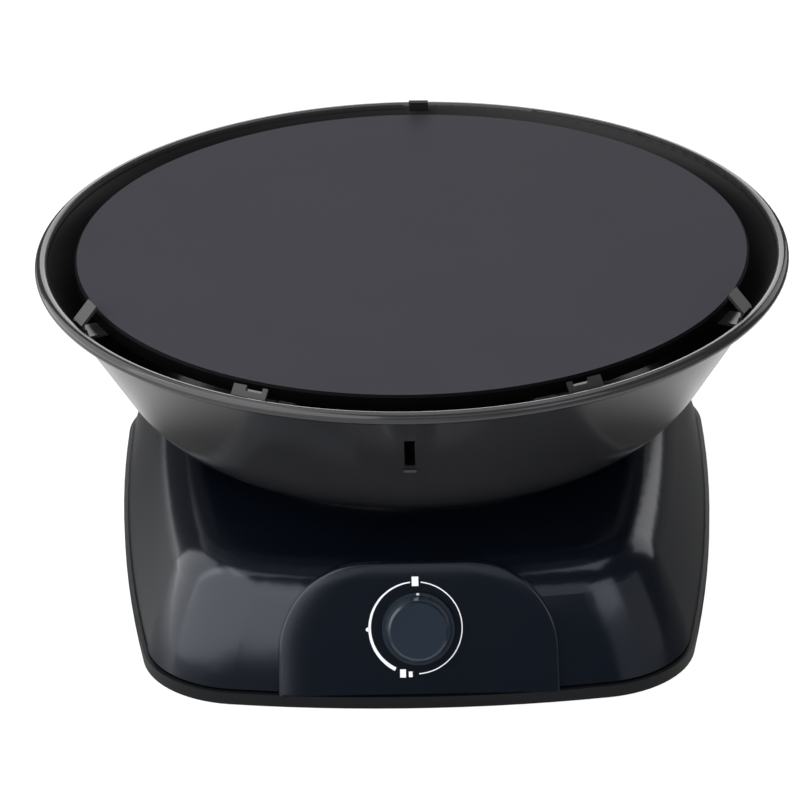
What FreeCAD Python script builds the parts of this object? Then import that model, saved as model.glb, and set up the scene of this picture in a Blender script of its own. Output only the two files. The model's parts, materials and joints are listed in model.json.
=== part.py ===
import FreeCAD, Part
import math
import os
import Sketcher

# Table-top gas griddle: a loose round plate over an open bowl, on a moulded base with one control knob.
# Millimetres and degrees. +Z is up, the front is towards -Y, the floor is z = 0 under the bowl's axis.

SIZES = {
    # Bowl
    "rim_height": 162.7,
    "rim_radius": 195.0,
    "bead_radius": 3.3,
    "bowl_seat_rise": 5.0,
    "bowl_floor_radius": 102.0,
    "bowl_wall_run": 27.6,
    "bowl_sheet": 1.2,
    "bowl_hole_radius": 62.0,
    "bowl_collar": 8.0,
    "slot_width": 5.2,
    "slot_length": 20.0,
    "slot_drop": 32.7,
    "slot_side": -2.6,
    "sill_width": 6.3,
    "sill_reach": 2.4,
    "sill_thickness": 1.4,
    "sill_drop": 1.4,
    # Griddle plate
    "plate_border": 20.5,
    "plate_rise": 0.3,
    "plate_edge": 8.0,
    "plate_thickness": 5.0,
    "plate_skirt": 7.0,
    "plate_bevel": 1.2,
    "plate_draft": 0.6,
    "plate_rib_width": 4.0,
    "plate_rib_start": 34.0,
    "plate_rib_count": 12,
    # Plate brackets
    "bracket_sheet": 1.5,
    "bracket_gap": 0.35,
    "bracket_shelf_lap": 12.5,
    "bracket_top_drop": 2.2,
    "bracket_rim_gap": 2.0,
    "bracket_tab_angle": 133.0,
    "bracket_width": 14.0,
    "bracket_tab_width": 10.4,
    "bracket_tab_length": 12.4,
    "bracket_shoulder_drop": 3.7,
    "rest_width": 18.6,
    "rest_tab_length": 6.0,
    "rest_inner_ear": 2.8,
    "rest_outer_ear": 7.0,
    "rest_notch_rise": 0.1,
    "rear_bracket_azimuth": 88.4,
    "left_bracket_azimuth": 205.0,
    "right_bracket_azimuth": 335.0,
    "left_rest_azimuth": 244.2,
    "right_rest_azimuth": 297.1,
    # Seats between pieces that lift apart
    "seat_gap": 0.3,
    # Base outline at the floor
    "base_half_width": 157.5,
    "base_front": 199.0,
    "base_rear": 154.5,
    "base_front_bow": 600.0,
    "base_side_bow": 1300.0,
    "base_side_apex": 70.0,
    "base_front_corner": 54.0,
    "base_rear_corner": 54.0,
    # Base tray
    "tray_bottom": 2.0,
    "tray_floor": 2.5,
    "tray_wall": 2.5,
    "seam_height": 8.4,
    "lip_thickness": 1.6,
    "lip_gap": 2.2,
    "lip_height": 3.0,
    "vent_length": 46.0,
    "vent_width": 6.0,
    "vent_pitch": 14.0,
    "vent_count": 5,
    "vent_offset": 78.0,
    # Base cover
    "seam_gap": 1.2,
    "tray_border": 2.2,
    "cover_wall": 3.0,
    "cover_top": 66.0,
    "cover_side_draft": 26.5,
    "cover_front_draft": 27.0,
    "cover_top_front_corner": 46.0,
    "cover_top_rear_corner": 44.0,
    "cover_bulge": 2.0,
    "cover_bulge_share": 0.5,
    "cover_shoulder_radius": 26.0,
    "cover_hole_radius": 66.0,
    "post_radius": 5.0,
    "post_hole_radius": 1.8,
    "post_hole_depth": 16.0,
    "front_post_side": 53.5,
    "front_post_setback": 76.5,
    "rear_post_side": 49.5,
    "rear_post_setback": 42.5,
    # Console on the cover
    "console_lean": 22.0,
    "console_proud": 1.2,
    "console_half_width": 70.0,
    "console_taper": 1.0,
    "console_length": 65.9,
    "console_corner": 45.0,
    "console_depth": 40.0,
    "console_edge_radius": 1.6,
    "stem_hole_radius": 5.5,
    "bracket_boss_radius": 4.5,
    "bracket_boss_length": 5.0,
    # Knob and valve, measured along the knob's axis from the console's face
    "knob_rise": 33.1,
    "knob_gap": 3.2,
    "knob_skirt_radius": 18.0,
    "knob_skirt_height": 2.6,
    "knob_shoulder_radius": 16.6,
    "knob_face_radius": 15.0,
    "knob_height": 11.0,
    "knob_wall": 2.0,
    "knob_round": 1.2,
    "knob_hub_radius": 5.6,
    "knob_flute_radius": 1.3,
    "knob_flute_count": 24,
    "knob_mark_width": 1.8,
    "knob_mark_depth": 0.6,
    "stem_radius": 3.0,
    "stem_flat": 1.9,
    "stem_flat_length": 8.0,
    "stem_inner_end": 40.0,
    "stem_clearance": 0.06,
    "washer_radius": 7.0,
    "washer_thickness": 1.5,
    "washer_depth": 14.0,
    "valve_bracket_sheet": 2.0,
    "valve_bracket_depth": 18.0,
    "valve_bracket_half_width": 32.0,
    "valve_bracket_foot": 12.0,
    "valve_bracket_height": 26.0,
    "valve_bracket_hole_radius": 4.0,
    "valve_flange_radius": 12.0,
    "valve_flange_thickness": 3.0,
    "valve_radius": 11.0,
    "valve_length": 28.0,
    "valve_bore_depth": 26.0,
    "inlet_boss_radius": 6.0,
    "inlet_boss_reach": 24.0,
    "inlet_boss_setback": 34.0,
    "outlet_radius": 10.3,
    "outlet_overlap": 10.0,
    "outlet_length": 19.0,
    "piezo_radius": 7.5,
    "piezo_length": 38.0,
    "piezo_offset": 20.0,
    "piezo_terminal_radius": 2.4,
    "piezo_terminal_length": 5.0,
    # Gas train
    "mixer_height": 27.0,
    "mixer_radius": 9.0,
    "mixer_wall": 1.4,
    "mixer_bend": 24.0,
    "mixer_bell_gap": 0.1,
    "mixer_bell_wall": 1.6,
    "mixer_bell_lap": 6.0,
    "mixer_bell_length": 24.0,
    "mixer_bell_step": 2.5,
    "mixer_insert": 4.0,
    "air_port_length": 9.0,
    "air_port_height": 10.0,
    "air_port_setback": 11.5,
    "injector_hex": 5.0,
    "injector_hex_length": 5.0,
    "injector_tip_radius": 2.6,
    "injector_nose_radius": 1.6,
    "injector_nose_length": 5.0,
    "injector_orifice": 0.5,
    "pipe_radius": 4.0,
    "pipe_bore": 3.0,
    "pipe_bend": 30.0,
    "pipe_side": 67.5,
    "inlet_tail_length": 6.0,
    "inlet_tail_radius": 6.0,
    "inlet_flange_radius": 10.0,
    "inlet_flange_thickness": 5.0,
    "inlet_neck_radius": 6.3,
    "inlet_thread_radius": 6.58,
    "inlet_thread_length": 14.0,
    "inlet_bore": 2.5,
    "inlet_hole_clearance": 0.25,
    "nut_radius": 10.97,
    "nut_thickness": 6.0,
    "nut_clearance": 0.05,
    # Burner
    "burner_radius": 42.0,
    "burner_height": 16.0,
    "burner_wall": 4.0,
    "burner_floor": 2.0,
    "burner_port_width": 2.0,
    "burner_port_depth": 5.0,
    "burner_port_count": 24,
    "cap_overhang": 2.0,
    "cap_thickness": 3.0,
    "cap_crown": 2.0,
    "cap_ring_gap": 1.0,
    "cap_ring_wall": 2.0,
    "cap_ring_depth": 5.0,
    "throat_clearance": 0.2,
    "stand_top": 74.0,
    "stand_sheet": 2.0,
    "stand_half_width": 36.0,
    "stand_foot": 16.0,
    "stand_depth": 56.0,
    "stand_boss_height": 5.5,
    "stand_boss_radius": 5.0,
    "stand_screw_x": 45.0,
    "stand_screw_y": 18.0,
    # Heat shield that carries the bowl
    "shield_sheet": 1.0,
    "shield_bore": 60.0,
    "shield_lip": 9.0,
    "shield_seat_width": 14.0,
    "shield_screw_count": 3,
    # Spark electrode
    "electrode_x": 20.0,
    "electrode_y": 48.0,
    "electrode_strip_half_width": 6.0,
    "electrode_strip_sheet": 1.5,
    "electrode_strip_start": 13.0,
    "electrode_strip_margin": 7.0,
    "insulator_radius": 3.5,
    "insulator_drop": 13.0,
    "insulator_rise": 13.0,
    "insulator_collar_radius": 5.0,
    "insulator_collar_height": 2.0,
    "electrode_radius": 1.0,
    "electrode_clearance": 0.05,
    "electrode_tail": 4.0,
    "electrode_tip_rise": 17.0,
    "electrode_tip_reach": 5.0,
    "lead_radius": 1.5,
    "lead_floor_gap": 0.3,
    "lead_bend": 24.0,
    # Feet and fasteners
    "foot_radius": 10.0,
    "foot_stem_radius": 3.5,
    "foot_bead_radius": 4.6,
    "foot_bead_height": 2.0,
    "foot_clearance": 0.1,
    "front_foot_side": 49.5,
    "front_foot_setback": 48.5,
    "rear_foot_side": 31.5,
    "rear_foot_setback": 38.5,
    "screw_radius": 1.75,
    "screw_clearance": 0.25,
    "screw_head_radius": 3.4,
    "screw_head_height": 1.6,
    "cover_screw_length": 13.0,
    "stand_screw_length": 7.0,
    "valve_screw_length": 8.0,
    "shield_screw_length": 6.0,
    # One overrun for all cuts
    "overrun": 6.0,
}

CLOSE = 1e-4
QUARTER_TURN = 90
FULL_TURN = 360
HOLLOW_STEPS = 2

doc = FreeCAD.newDocument("table_top_griddle")
sheet = doc.addObject("Spreadsheet::Sheet", "Sizes")
for row, (alias, number) in enumerate(SIZES.items(), start=1):
    sheet.set("A%d" % row, alias)
    sheet.set("B%d" % row, str(number))
    sheet.setAlias("B%d" % row, alias)
doc.recompute()


class Size:
    """A number together with the sheet expression that gives it."""

    def __init__(self, number, text):
        self.number = number
        self.text = text

    def __add__(self, other):
        other = as_size(other)
        return Size(self.number + other.number, "(%s + %s)" % (self.text, other.text))

    def __sub__(self, other):
        other = as_size(other)
        return Size(self.number - other.number, "(%s - %s)" % (self.text, other.text))

    def __mul__(self, other):
        other = as_size(other)
        return Size(self.number * other.number, "(%s * %s)" % (self.text, other.text))

    def __truediv__(self, other):
        other = as_size(other)
        return Size(self.number / other.number, "(%s / %s)" % (self.text, other.text))

    def __neg__(self):
        return Size(-self.number, "(0 - %s)" % self.text)

    def __rtruediv__(self, other):
        return as_size(other) / self

    def __radd__(self, other):
        return as_size(other) + self

    def __rsub__(self, other):
        return as_size(other) - self

    def __rmul__(self, other):
        return as_size(other) * self


def as_size(thing):
    return thing if isinstance(thing, Size) else Size(thing, str(thing))


def sine(angle):
    return Size(math.sin(math.radians(angle.number)), "sin(%s)" % angle.text)


def cosine(angle):
    return Size(math.cos(math.radians(angle.number)), "cos(%s)" % angle.text)


def tangent(angle):
    return Size(math.tan(math.radians(angle.number)), "tan(%s)" % angle.text)


def root(size):
    return Size(math.sqrt(size.number), "sqrt(%s)" % size.text)


class Sheet:
    """The driving dimensions by name, such as s.rim_height."""


s = Sheet()
for alias, number in SIZES.items():
    setattr(s, alias, Size(number, "Sizes." + alias))


# Console frame: its face leans back from the cover's front edge
cover_bottom = s.seam_height + s.seam_gap
console_foot_y = s.base_front - s.tray_border + s.console_proud
knob_y = s.knob_rise * sine(s.console_lean) - console_foot_y
knob_z = cover_bottom + s.knob_rise * cosine(s.console_lean)
knob_top = s.knob_gap + s.knob_height

# The pieces are drawn about the bowl's axis. Then all move back by this much, which centres the whole
# object on the origin between the knob's face and the rim's rear
knob_front = knob_top * cosine(s.console_lean) + (s.knob_face_radius - s.knob_round) * sine(s.console_lean)
frame_shift = (knob_front - knob_y - s.rim_radius) / 2


# Small builders

def vector(x, y, z=0):
    return FreeCAD.Vector(as_size(x).number, as_size(y).number, as_size(z).number)


def bind(thing, path, size):
    thing.setExpression(path, as_size(size).text)


def place(thing, x=0, y=0, z=0, axis=(0, 0, 1), angle=0):
    turn = FreeCAD.Rotation(FreeCAD.Vector(*axis), as_size(angle).number)
    thing.Placement = FreeCAD.Placement(vector(x, y, z), turn)
    bind(thing, "Placement.Base.x", x)
    bind(thing, "Placement.Base.y", y)
    bind(thing, "Placement.Base.z", z)
    if as_size(angle).number:
        bind(thing, "Placement.Rotation.Angle", angle)
    return thing


def cylinder(name, radius, height, x=0, y=0, z=0, axis=(0, 0, 1), angle=0):
    thing = doc.addObject("Part::Cylinder", name)
    bind(thing, "Radius", radius)
    bind(thing, "Height", height)
    return place(thing, x, y, z, axis, angle)


def cone(name, low_radius, high_radius, height, x=0, y=0, z=0, axis=(0, 0, 1), angle=0):
    thing = doc.addObject("Part::Cone", name)
    bind(thing, "Radius1", low_radius)
    bind(thing, "Radius2", high_radius)
    bind(thing, "Height", height)
    return place(thing, x, y, z, axis, angle)


def box(name, length, width, height, x=0, y=0, z=0):
    thing = doc.addObject("Part::Box", name)
    bind(thing, "Length", length)
    bind(thing, "Width", width)
    bind(thing, "Height", height)
    return place(thing, x, y, z)


def hexagon(name, radius, height, x=0, y=0, z=0, axis=(0, 0, 1), angle=0):
    thing = doc.addObject("Part::Prism", name)
    thing.Polygon = 6
    bind(thing, "Circumradius", radius)
    bind(thing, "Height", height)
    return place(thing, x, y, z, axis, angle)


def fuse(name, *things):
    joined = doc.addObject("Part::MultiFuse", name)
    joined.Shapes = list(things)
    joined.Refine = True
    return joined


def cut(name, base, tool):
    result = doc.addObject("Part::Cut", name)
    result.Base = base
    result.Tool = tool
    return result


def group(name, things):
    bundle = doc.addObject("Part::Compound", name)
    bundle.Links = things
    return bundle


ALONG_X = {"axis": (0, 1, 0), "angle": QUARTER_TURN}
ALONG_Y = {"axis": (-1, 0, 0), "angle": QUARTER_TURN}

nodes = {}


def node(label, thing):
    thing.Label = label
    nodes[label] = thing
    return thing


def in_frame(thing):
    return place(thing, y=frame_shift)


def new_body(name):
    return in_frame(doc.addObject("PartDesign::Body", name))


def new_sketch(body, name, plane, rise=0):
    """A sketch on one of the body's origin planes, moved along the plane's normal by rise."""
    sketch = body.newObject("Sketcher::SketchObject", name)
    support = [feature for feature in body.Origin.OriginFeatures if feature.Role == plane]
    sketch.AttachmentSupport = [(support[0], "")]
    sketch.MapMode = "FlatFace"
    sketch.AttachmentOffset = FreeCAD.Placement(vector(0, 0, rise), FreeCAD.Rotation())
    bind(sketch, "AttachmentOffset.Base.z", rise)
    return sketch


def pin_point(sketch, piece, end, x, y):
    """Ties one end or centre of a sketch piece to its coordinates."""
    for kind, size, axis_line in (("DistanceX", as_size(x), -2), ("DistanceY", as_size(y), -1)):
        if size.number == 0:
            sketch.addConstraint(Sketcher.Constraint("PointOnObject", piece, end, axis_line))
        else:
            index = sketch.addConstraint(Sketcher.Constraint(kind, piece, end, size.number))
            bind(sketch, "Constraints[%d]" % index, size)


def set_radius(sketch, piece, radius):
    index = sketch.addConstraint(Sketcher.Constraint("Radius", piece, as_size(radius).number))
    bind(sketch, "Constraints[%d]" % index, radius)


def arc_between(start, end, centre, turn):
    """The arc about centre from start to end: turn is 1 for anticlockwise, -1 for clockwise."""
    if turn < 0:
        start, end = end, start
    first = math.atan2(start.y - centre.y, start.x - centre.x)
    last = math.atan2(end.y - centre.y, end.x - centre.x)
    circle = Part.Circle(centre, FreeCAD.Vector(0, 0, 1), (start - centre).Length)
    return Part.ArcOfCircle(circle, first, last)


def trace(sketch, points, arcs=None, closed=True):
    """Draws points in order. arcs gives, for the point an arc leaves, its centre, radius and turn."""
    arcs = arcs or {}
    first = sketch.GeometryCount
    count = len(points)
    spans = count if closed else count - 1
    ends = []
    for index in range(spans):
        start = vector(*points[index])
        stop = vector(*points[(index + 1) % count])
        if index in arcs:
            centre, radius, turn = arcs[index]
            sketch.addGeometry(arc_between(start, stop, vector(*centre), turn), False)
            ends.append((1, 2) if turn > 0 else (2, 1))
        else:
            sketch.addGeometry(Part.LineSegment(start, stop), False)
            ends.append((1, 2))
    for index in range(spans if closed else spans - 1):
        follower = (index + 1) % spans
        sketch.addConstraint(Sketcher.Constraint("Coincident", first + index, ends[index][1],
                                                 first + follower, ends[follower][0]))
    for index in range(spans):
        pin_point(sketch, first + index, ends[index][0], *points[index])
        if index in arcs:
            set_radius(sketch, first + index, arcs[index][1])
    if not closed:
        pin_point(sketch, first + spans - 1, ends[spans - 1][1], *points[-1])


def ring(sketch, x, y, *radii):
    """Circles about one centre."""
    for radius in radii:
        circle = Part.Circle(vector(x, y), FreeCAD.Vector(0, 0, 1), as_size(radius).number)
        index = sketch.addGeometry(circle, False)
        pin_point(sketch, index, 3, x, y)
        set_radius(sketch, index, radius)


def rectangle(sketch, left, low, right, high):
    trace(sketch, [(left, low), (right, low), (right, high), (left, high)])


def feature(body, kind, name, profile):
    thing = body.newObject("PartDesign::" + kind, name)
    thing.Profile = profile
    return thing


def revolve(body, name, profile, kind="Revolution"):
    thing = feature(body, kind, name, profile)
    thing.ReferenceAxis = (profile, ["V_Axis"])
    thing.Angle = FULL_TURN
    return thing


def extrude(body, name, profile, length, kind="Pad", reverse=False, symmetric=False):
    thing = feature(body, kind, name, profile)
    bind(thing, "Length", length)
    thing.Reversed = reverse
    if symmetric:
        thing.SideType = "Symmetric"
    return thing


def polar(body, name, original, sketch, count):
    """Repeats a feature round the vertical axis of its sketch's plane."""
    pattern = body.newObject("PartDesign::PolarPattern", name)
    pattern.Originals = [original]
    pattern.Axis = (sketch, ["V_Axis" if sketch.Name.endswith("_side") else "N_Axis"])
    pattern.Angle = FULL_TURN
    bind(pattern, "Occurrences", count)
    body.Tip = pattern
    return pattern


def must_change(body, before, what):
    """A cut or boss that misses its body leaves the volume as it was."""
    doc.recompute()
    after = body.Shape.Volume
    if abs(after - before) < CLOSE * CLOSE * before:
        raise RuntimeError("%s changed nothing: %s" % (what, body.Tip.getStatusString()))
    return after


# Heights that several pieces share

bowl_floor = s.cover_top + s.bowl_seat_rise
plate_top = s.rim_height + s.plate_rise
plate_radius = s.rim_radius - s.plate_border
tray_inside = s.tray_bottom + s.tray_floor
cover_inner_top = s.cover_top - s.cover_wall
cover_rear = s.base_rear - s.tray_border
shield_seat = bowl_floor - s.seat_gap
stand_foot_height = tray_inside + s.stand_boss_height

# Bowl wall: a straight cone from the rolled rim, tangent to the arc that runs into the floor
wall_top_z = s.rim_height - s.bead_radius
wall_top_r = s.rim_radius - s.bead_radius * 2 + s.bowl_sheet
wall_across = wall_top_r - s.bowl_floor_radius
bowl_corner_radius = wall_across - s.bowl_wall_run
wall_above = wall_top_z - bowl_floor - bowl_corner_radius
wall_reach = wall_across * wall_across + wall_above * wall_above
wall_length = root(wall_reach - bowl_corner_radius * bowl_corner_radius)
wall_sine = (wall_above * wall_length + wall_across * bowl_corner_radius) / wall_reach
wall_cosine = (wall_across * wall_length - wall_above * bowl_corner_radius) / wall_reach
wall_slope = wall_sine / wall_cosine
arc_top_z = bowl_floor + bowl_corner_radius * (1 - wall_cosine)
arc_top_r = s.bowl_floor_radius + bowl_corner_radius * wall_sine
wall_run = s.bowl_sheet / wall_sine


def outer_wall_radius(z):
    return wall_top_r - (wall_top_z - z) / wall_slope


def make_bowl():
    body = new_body("bowl_body")
    sheet_radius = bowl_corner_radius - s.bowl_sheet
    centre = (s.bowl_floor_radius, bowl_floor + bowl_corner_radius)
    inner_arc_top = (centre[0] + sheet_radius * wall_sine, centre[1] - sheet_radius * wall_cosine)
    bead = (s.rim_radius - s.bead_radius, wall_top_z)
    bead_offset = (bead[0] - wall_top_r) * wall_sine

    def on_bead(depth):
        """Where the wall's surface at this depth from its outside runs into the rolled rim."""
        away = bead_offset + depth
        chord = root(s.bead_radius * s.bead_radius - away * away)
        return (bead[0] - away * wall_sine - chord * wall_cosine,
                bead[1] + away * wall_cosine - chord * wall_sine)

    profile = new_sketch(body, "bowl_section", "XZ_Plane")
    trace(profile, [
        (s.bowl_hole_radius, bowl_floor),
        (s.bowl_floor_radius, bowl_floor),
        (arc_top_r, arc_top_z),
        on_bead(0),
        on_bead(s.bowl_sheet),
        inner_arc_top,
        (s.bowl_floor_radius, bowl_floor + s.bowl_sheet),
        (s.bowl_hole_radius + s.bowl_sheet, bowl_floor + s.bowl_sheet),
        (s.bowl_hole_radius + s.bowl_sheet, bowl_floor + s.bowl_collar),
        (s.bowl_hole_radius, bowl_floor + s.bowl_collar),
    ], arcs={1: (centre, bowl_corner_radius, 1), 3: (bead, s.bead_radius, 1), 5: (centre, sheet_radius, -1)})
    revolve(body, "bowl_shell", profile)
    doc.recompute()
    volume = body.Shape.Volume
    # Sight slot at the front, with a pressed sill under it
    low = s.rim_height - s.slot_drop - s.slot_length / 2
    high = s.rim_height - s.slot_drop + s.slot_length / 2
    slot = new_sketch(body, "bowl_slot_outline", "XZ_Plane")
    rectangle(slot, s.slot_side - s.slot_width / 2, low, s.slot_side + s.slot_width / 2, high)
    extrude(body, "bowl_slot", slot, s.rim_radius, kind="Pocket", reverse=True)
    volume = must_change(body, volume, "bowl slot")
    sill_z = low - s.sill_drop
    sill = new_sketch(body, "bowl_sill_outline", "XZ_Plane", outer_wall_radius(sill_z) - s.bowl_sheet)
    sill_left = s.slot_side - s.sill_width / 2
    rectangle(sill, sill_left, sill_z - s.sill_thickness, sill_left + s.sill_width, sill_z)
    extrude(body, "bowl_sill", sill, s.bowl_sheet + s.sill_reach)
    must_change(body, volume, "bowl sill")
    return node("bowl", body)


def make_plate():
    body = new_body("plate_body")
    under = plate_top - s.plate_thickness
    foot = plate_top - s.plate_edge
    skirt_inner = plate_radius - s.plate_skirt
    profile = new_sketch(body, "plate_section", "XZ_Plane")
    trace(profile, [
        (0, under),
        (skirt_inner, under),
        (skirt_inner, foot),
        (plate_radius - s.plate_draft, foot),
        (plate_radius, plate_top - s.plate_bevel),
        (plate_radius - s.plate_bevel, plate_top),
        (0, plate_top),
    ])
    revolve(body, "plate_disc", profile)
    doc.recompute()
    volume = body.Shape.Volume
    rib = new_sketch(body, "plate_rib_outline", "XY_Plane", foot)
    rectangle(rib, s.plate_rib_start, -s.plate_rib_width / 2,
              plate_radius - s.plate_skirt / 2, s.plate_rib_width / 2)
    first_rib = extrude(body, "plate_rib", rib, s.plate_edge - s.plate_thickness / 2)
    must_change(body, volume, "plate rib")
    polar(body, "plate_ribs", first_rib, rib, s.plate_rib_count)
    return node("griddle_plate", body)


def make_bracket(label, azimuth, width, tab_length, notches):
    """A bent strip inside the rim: a shelf for the plate, a flange at the wall and a tab that leans in.

    notches lists what is cut from the strip's top: from, to, both across the strip, and the cut's foot.
    """
    body = new_body(label + "_body")
    sheet_size = s.bracket_sheet
    shelf_r = plate_radius - s.bracket_shelf_lap
    low = plate_top - s.plate_edge - s.seat_gap - sheet_size
    corner_r = outer_wall_radius(low) - wall_run - s.bracket_gap / wall_sine
    bend_r = s.rim_radius - s.bead_radius * 2 - s.bracket_rim_gap
    bend_z = s.rim_height - s.bracket_top_drop
    flange_out = bend_r - corner_r
    flange_up = bend_z - low
    flange = root(flange_out * flange_out + flange_up * flange_up)
    lean = (flange_out / flange, flange_up / flange)
    tab = (cosine(s.bracket_tab_angle), sine(s.bracket_tab_angle))
    tip_r = bend_r + tab_length * tab[0]
    tip_z = bend_z + tab_length * tab[1]
    # Half the turn at each bend sets how far its inside corner draws back
    shelf_mitre = lean[1] / (1 + lean[0]) * sheet_size
    tab_mitre = (lean[0] * tab[1] - lean[1] * tab[0]) / (1 + lean[0] * tab[0] + lean[1] * tab[1]) * sheet_size
    profile = new_sketch(body, label + "_section", "XZ_Plane")
    trace(profile, [
        (shelf_r, low),
        (corner_r, low),
        (bend_r, bend_z),
        (tip_r, tip_z),
        (tip_r - sheet_size * tab[1], tip_z + sheet_size * tab[0]),
        (bend_r - sheet_size * lean[1] - tab_mitre * lean[0],
         bend_z + sheet_size * lean[0] - tab_mitre * lean[1]),
        (corner_r - shelf_mitre, low + sheet_size),
        (shelf_r, low + sheet_size),
    ])
    extrude(body, label + "_strip", profile, width, symmetric=True)
    doc.recompute()
    volume = body.Shape.Volume
    notch = new_sketch(body, label + "_notch_outline", "YZ_Plane", shelf_r)
    for start, end, foot in notches:
        rectangle(notch, start, foot, end, tip_z + s.overrun)
    extrude(body, label + "_notch", notch, s.rim_radius, kind="Pocket", reverse=True)
    must_change(body, volume, label + " notch")
    place(body, y=frame_shift, angle=azimuth)
    return node(label, body)


def make_brackets():
    edge = s.bracket_width / 2
    tab = s.bracket_tab_width / 2
    shoulder = s.rim_height - s.bracket_shoulder_drop
    shoulders = [(-edge - s.overrun, -tab, shoulder), (tab, edge + s.overrun, shoulder)]
    for label, azimuth in (("rear_plate_bracket", s.rear_bracket_azimuth),
                           ("left_plate_bracket", s.left_bracket_azimuth),
                           ("right_plate_bracket", s.right_bracket_azimuth)):
        make_bracket(label, azimuth, s.bracket_width, s.bracket_tab_length, shoulders)
    # The front rests have no tab between their two ears, and the wider ear is the one towards the side
    side = s.rest_width / 2
    foot = s.rim_height + s.rest_notch_rise
    make_bracket("left_front_rest", s.left_rest_azimuth, s.rest_width, s.rest_tab_length,
                 [(s.rest_outer_ear - side, side - s.rest_inner_ear, foot)])
    make_bracket("right_front_rest", s.right_rest_azimuth, s.rest_width, s.rest_tab_length,
                 [(s.rest_inner_ear - side, side - s.rest_outer_ear, foot)])


def base_outline(sketch, half_width, front, rear, front_corner, rear_corner, inset):
    """Bowed front and sides, straight rear, joined by tangent corner arcs, all drawn in by inset."""
    half_width = half_width - inset
    front = front - inset
    rear = rear - inset
    bow = s.base_front_bow - inset
    side = s.base_side_bow - inset
    corner = front_corner - inset
    back = rear_corner - inset
    bow_centre = vector(0, bow - front)
    side_centre = vector(half_width - side, s.base_side_apex)
    reach_bow = (bow - corner).number
    reach_side = (side - corner).number
    between = side_centre - bow_centre
    along = (reach_bow ** 2 - reach_side ** 2 + between.Length ** 2) / (2 * between.Length)
    across = math.sqrt(reach_bow ** 2 - along ** 2)
    unit = between / between.Length
    corner_centre = bow_centre + unit * along + FreeCAD.Vector(-unit.y, unit.x, 0) * across
    drop = (rear - back - s.base_side_apex).number
    back_x = side_centre.x + math.sqrt((side - back).number ** 2 - drop ** 2)
    back_centre = FreeCAD.Vector(back_x, (rear - back).number, 0)

    def through(centre, inner, radius):
        return centre + (inner - centre) / (inner - centre).Length * as_size(radius).number

    def mirrored(point):
        return FreeCAD.Vector(-point.x, point.y, 0)

    front_end = through(bow_centre, corner_centre, bow)
    side_start = through(side_centre, corner_centre, side)
    side_end = through(side_centre, back_centre, side)
    back_end = back_centre + FreeCAD.Vector(0, back.number, 0)
    for piece in (
            arc_between(mirrored(front_end), front_end, bow_centre, 1),
            arc_between(front_end, side_start, corner_centre, 1),
            arc_between(side_start, side_end, side_centre, 1),
            arc_between(side_end, back_end, back_centre, 1),
            Part.LineSegment(back_end, mirrored(back_end)),
            arc_between(mirrored(back_end), mirrored(side_end), mirrored(back_centre), 1),
            arc_between(mirrored(side_end), mirrored(side_start), mirrored(side_centre), 1),
            arc_between(mirrored(side_start), mirrored(front_end), mirrored(corner_centre), 1)):
        sketch.addGeometry(piece, False)
    first = sketch.GeometryCount - 8
    for index in range(8):
        sketch.addConstraint(Sketcher.Constraint("Tangent", first + index, 2, first + (index + 1) % 8, 1))
    for piece, radius in ((0, bow), (1, corner), (2, side), (3, back), (5, back), (6, side), (7, corner)):
        set_radius(sketch, first + piece, radius)
    pin_point(sketch, first, 3, 0, bow - front)
    pin_point(sketch, first + 2, 3, half_width - side, s.base_side_apex)
    pin_point(sketch, first + 6, 3, side - half_width, s.base_side_apex)
    sketch.addConstraint(Sketcher.Constraint("Horizontal", first + 4))
    index = sketch.addConstraint(Sketcher.Constraint("DistanceY", first + 4, 1, rear.number))
    bind(sketch, "Constraints[%d]" % index, rear)


def foot_outline(sketch, inset):
    base_outline(sketch, s.base_half_width, s.base_front, s.base_rear,
                 s.base_front_corner, s.base_rear_corner, inset)


def cover_outline(sketch, share, inset):
    """The cover's outline at a share of its height: bulging sides and front, over a plumb rear."""
    bulge = s.cover_bulge * (4 * share * (1 - share))

    def between(low, high):
        return low + (high - low) * share

    border = s.tray_border
    base_outline(sketch, between(s.base_half_width - border, s.base_half_width - s.cover_side_draft) + bulge,
                 between(s.base_front - border, s.base_front - s.cover_front_draft) + bulge, cover_rear,
                 between(s.base_front_corner - border, s.cover_top_front_corner),
                 between(s.base_rear_corner - border, s.cover_top_rear_corner), inset)


def by_the_corners(front_side, front_setback, rear_side, rear_setback):
    """Four places, one near each corner of the base, measured in from its sides, front and rear."""
    places = [(side * (s.base_half_width - front_side), front_setback - s.base_front) for side in (-1, 1)]
    return places + [(side * (s.base_half_width - rear_side), s.base_rear - rear_setback) for side in (-1, 1)]


cover_posts = by_the_corners(s.front_post_side, s.front_post_setback, s.rear_post_side, s.rear_post_setback)
feet = by_the_corners(s.front_foot_side, s.front_foot_setback, s.rear_foot_side, s.rear_foot_setback)
stand_screws = [(side * s.stand_screw_x, end * s.stand_screw_y) for side in (-1, 1) for end in (-1, 1)]


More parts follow.
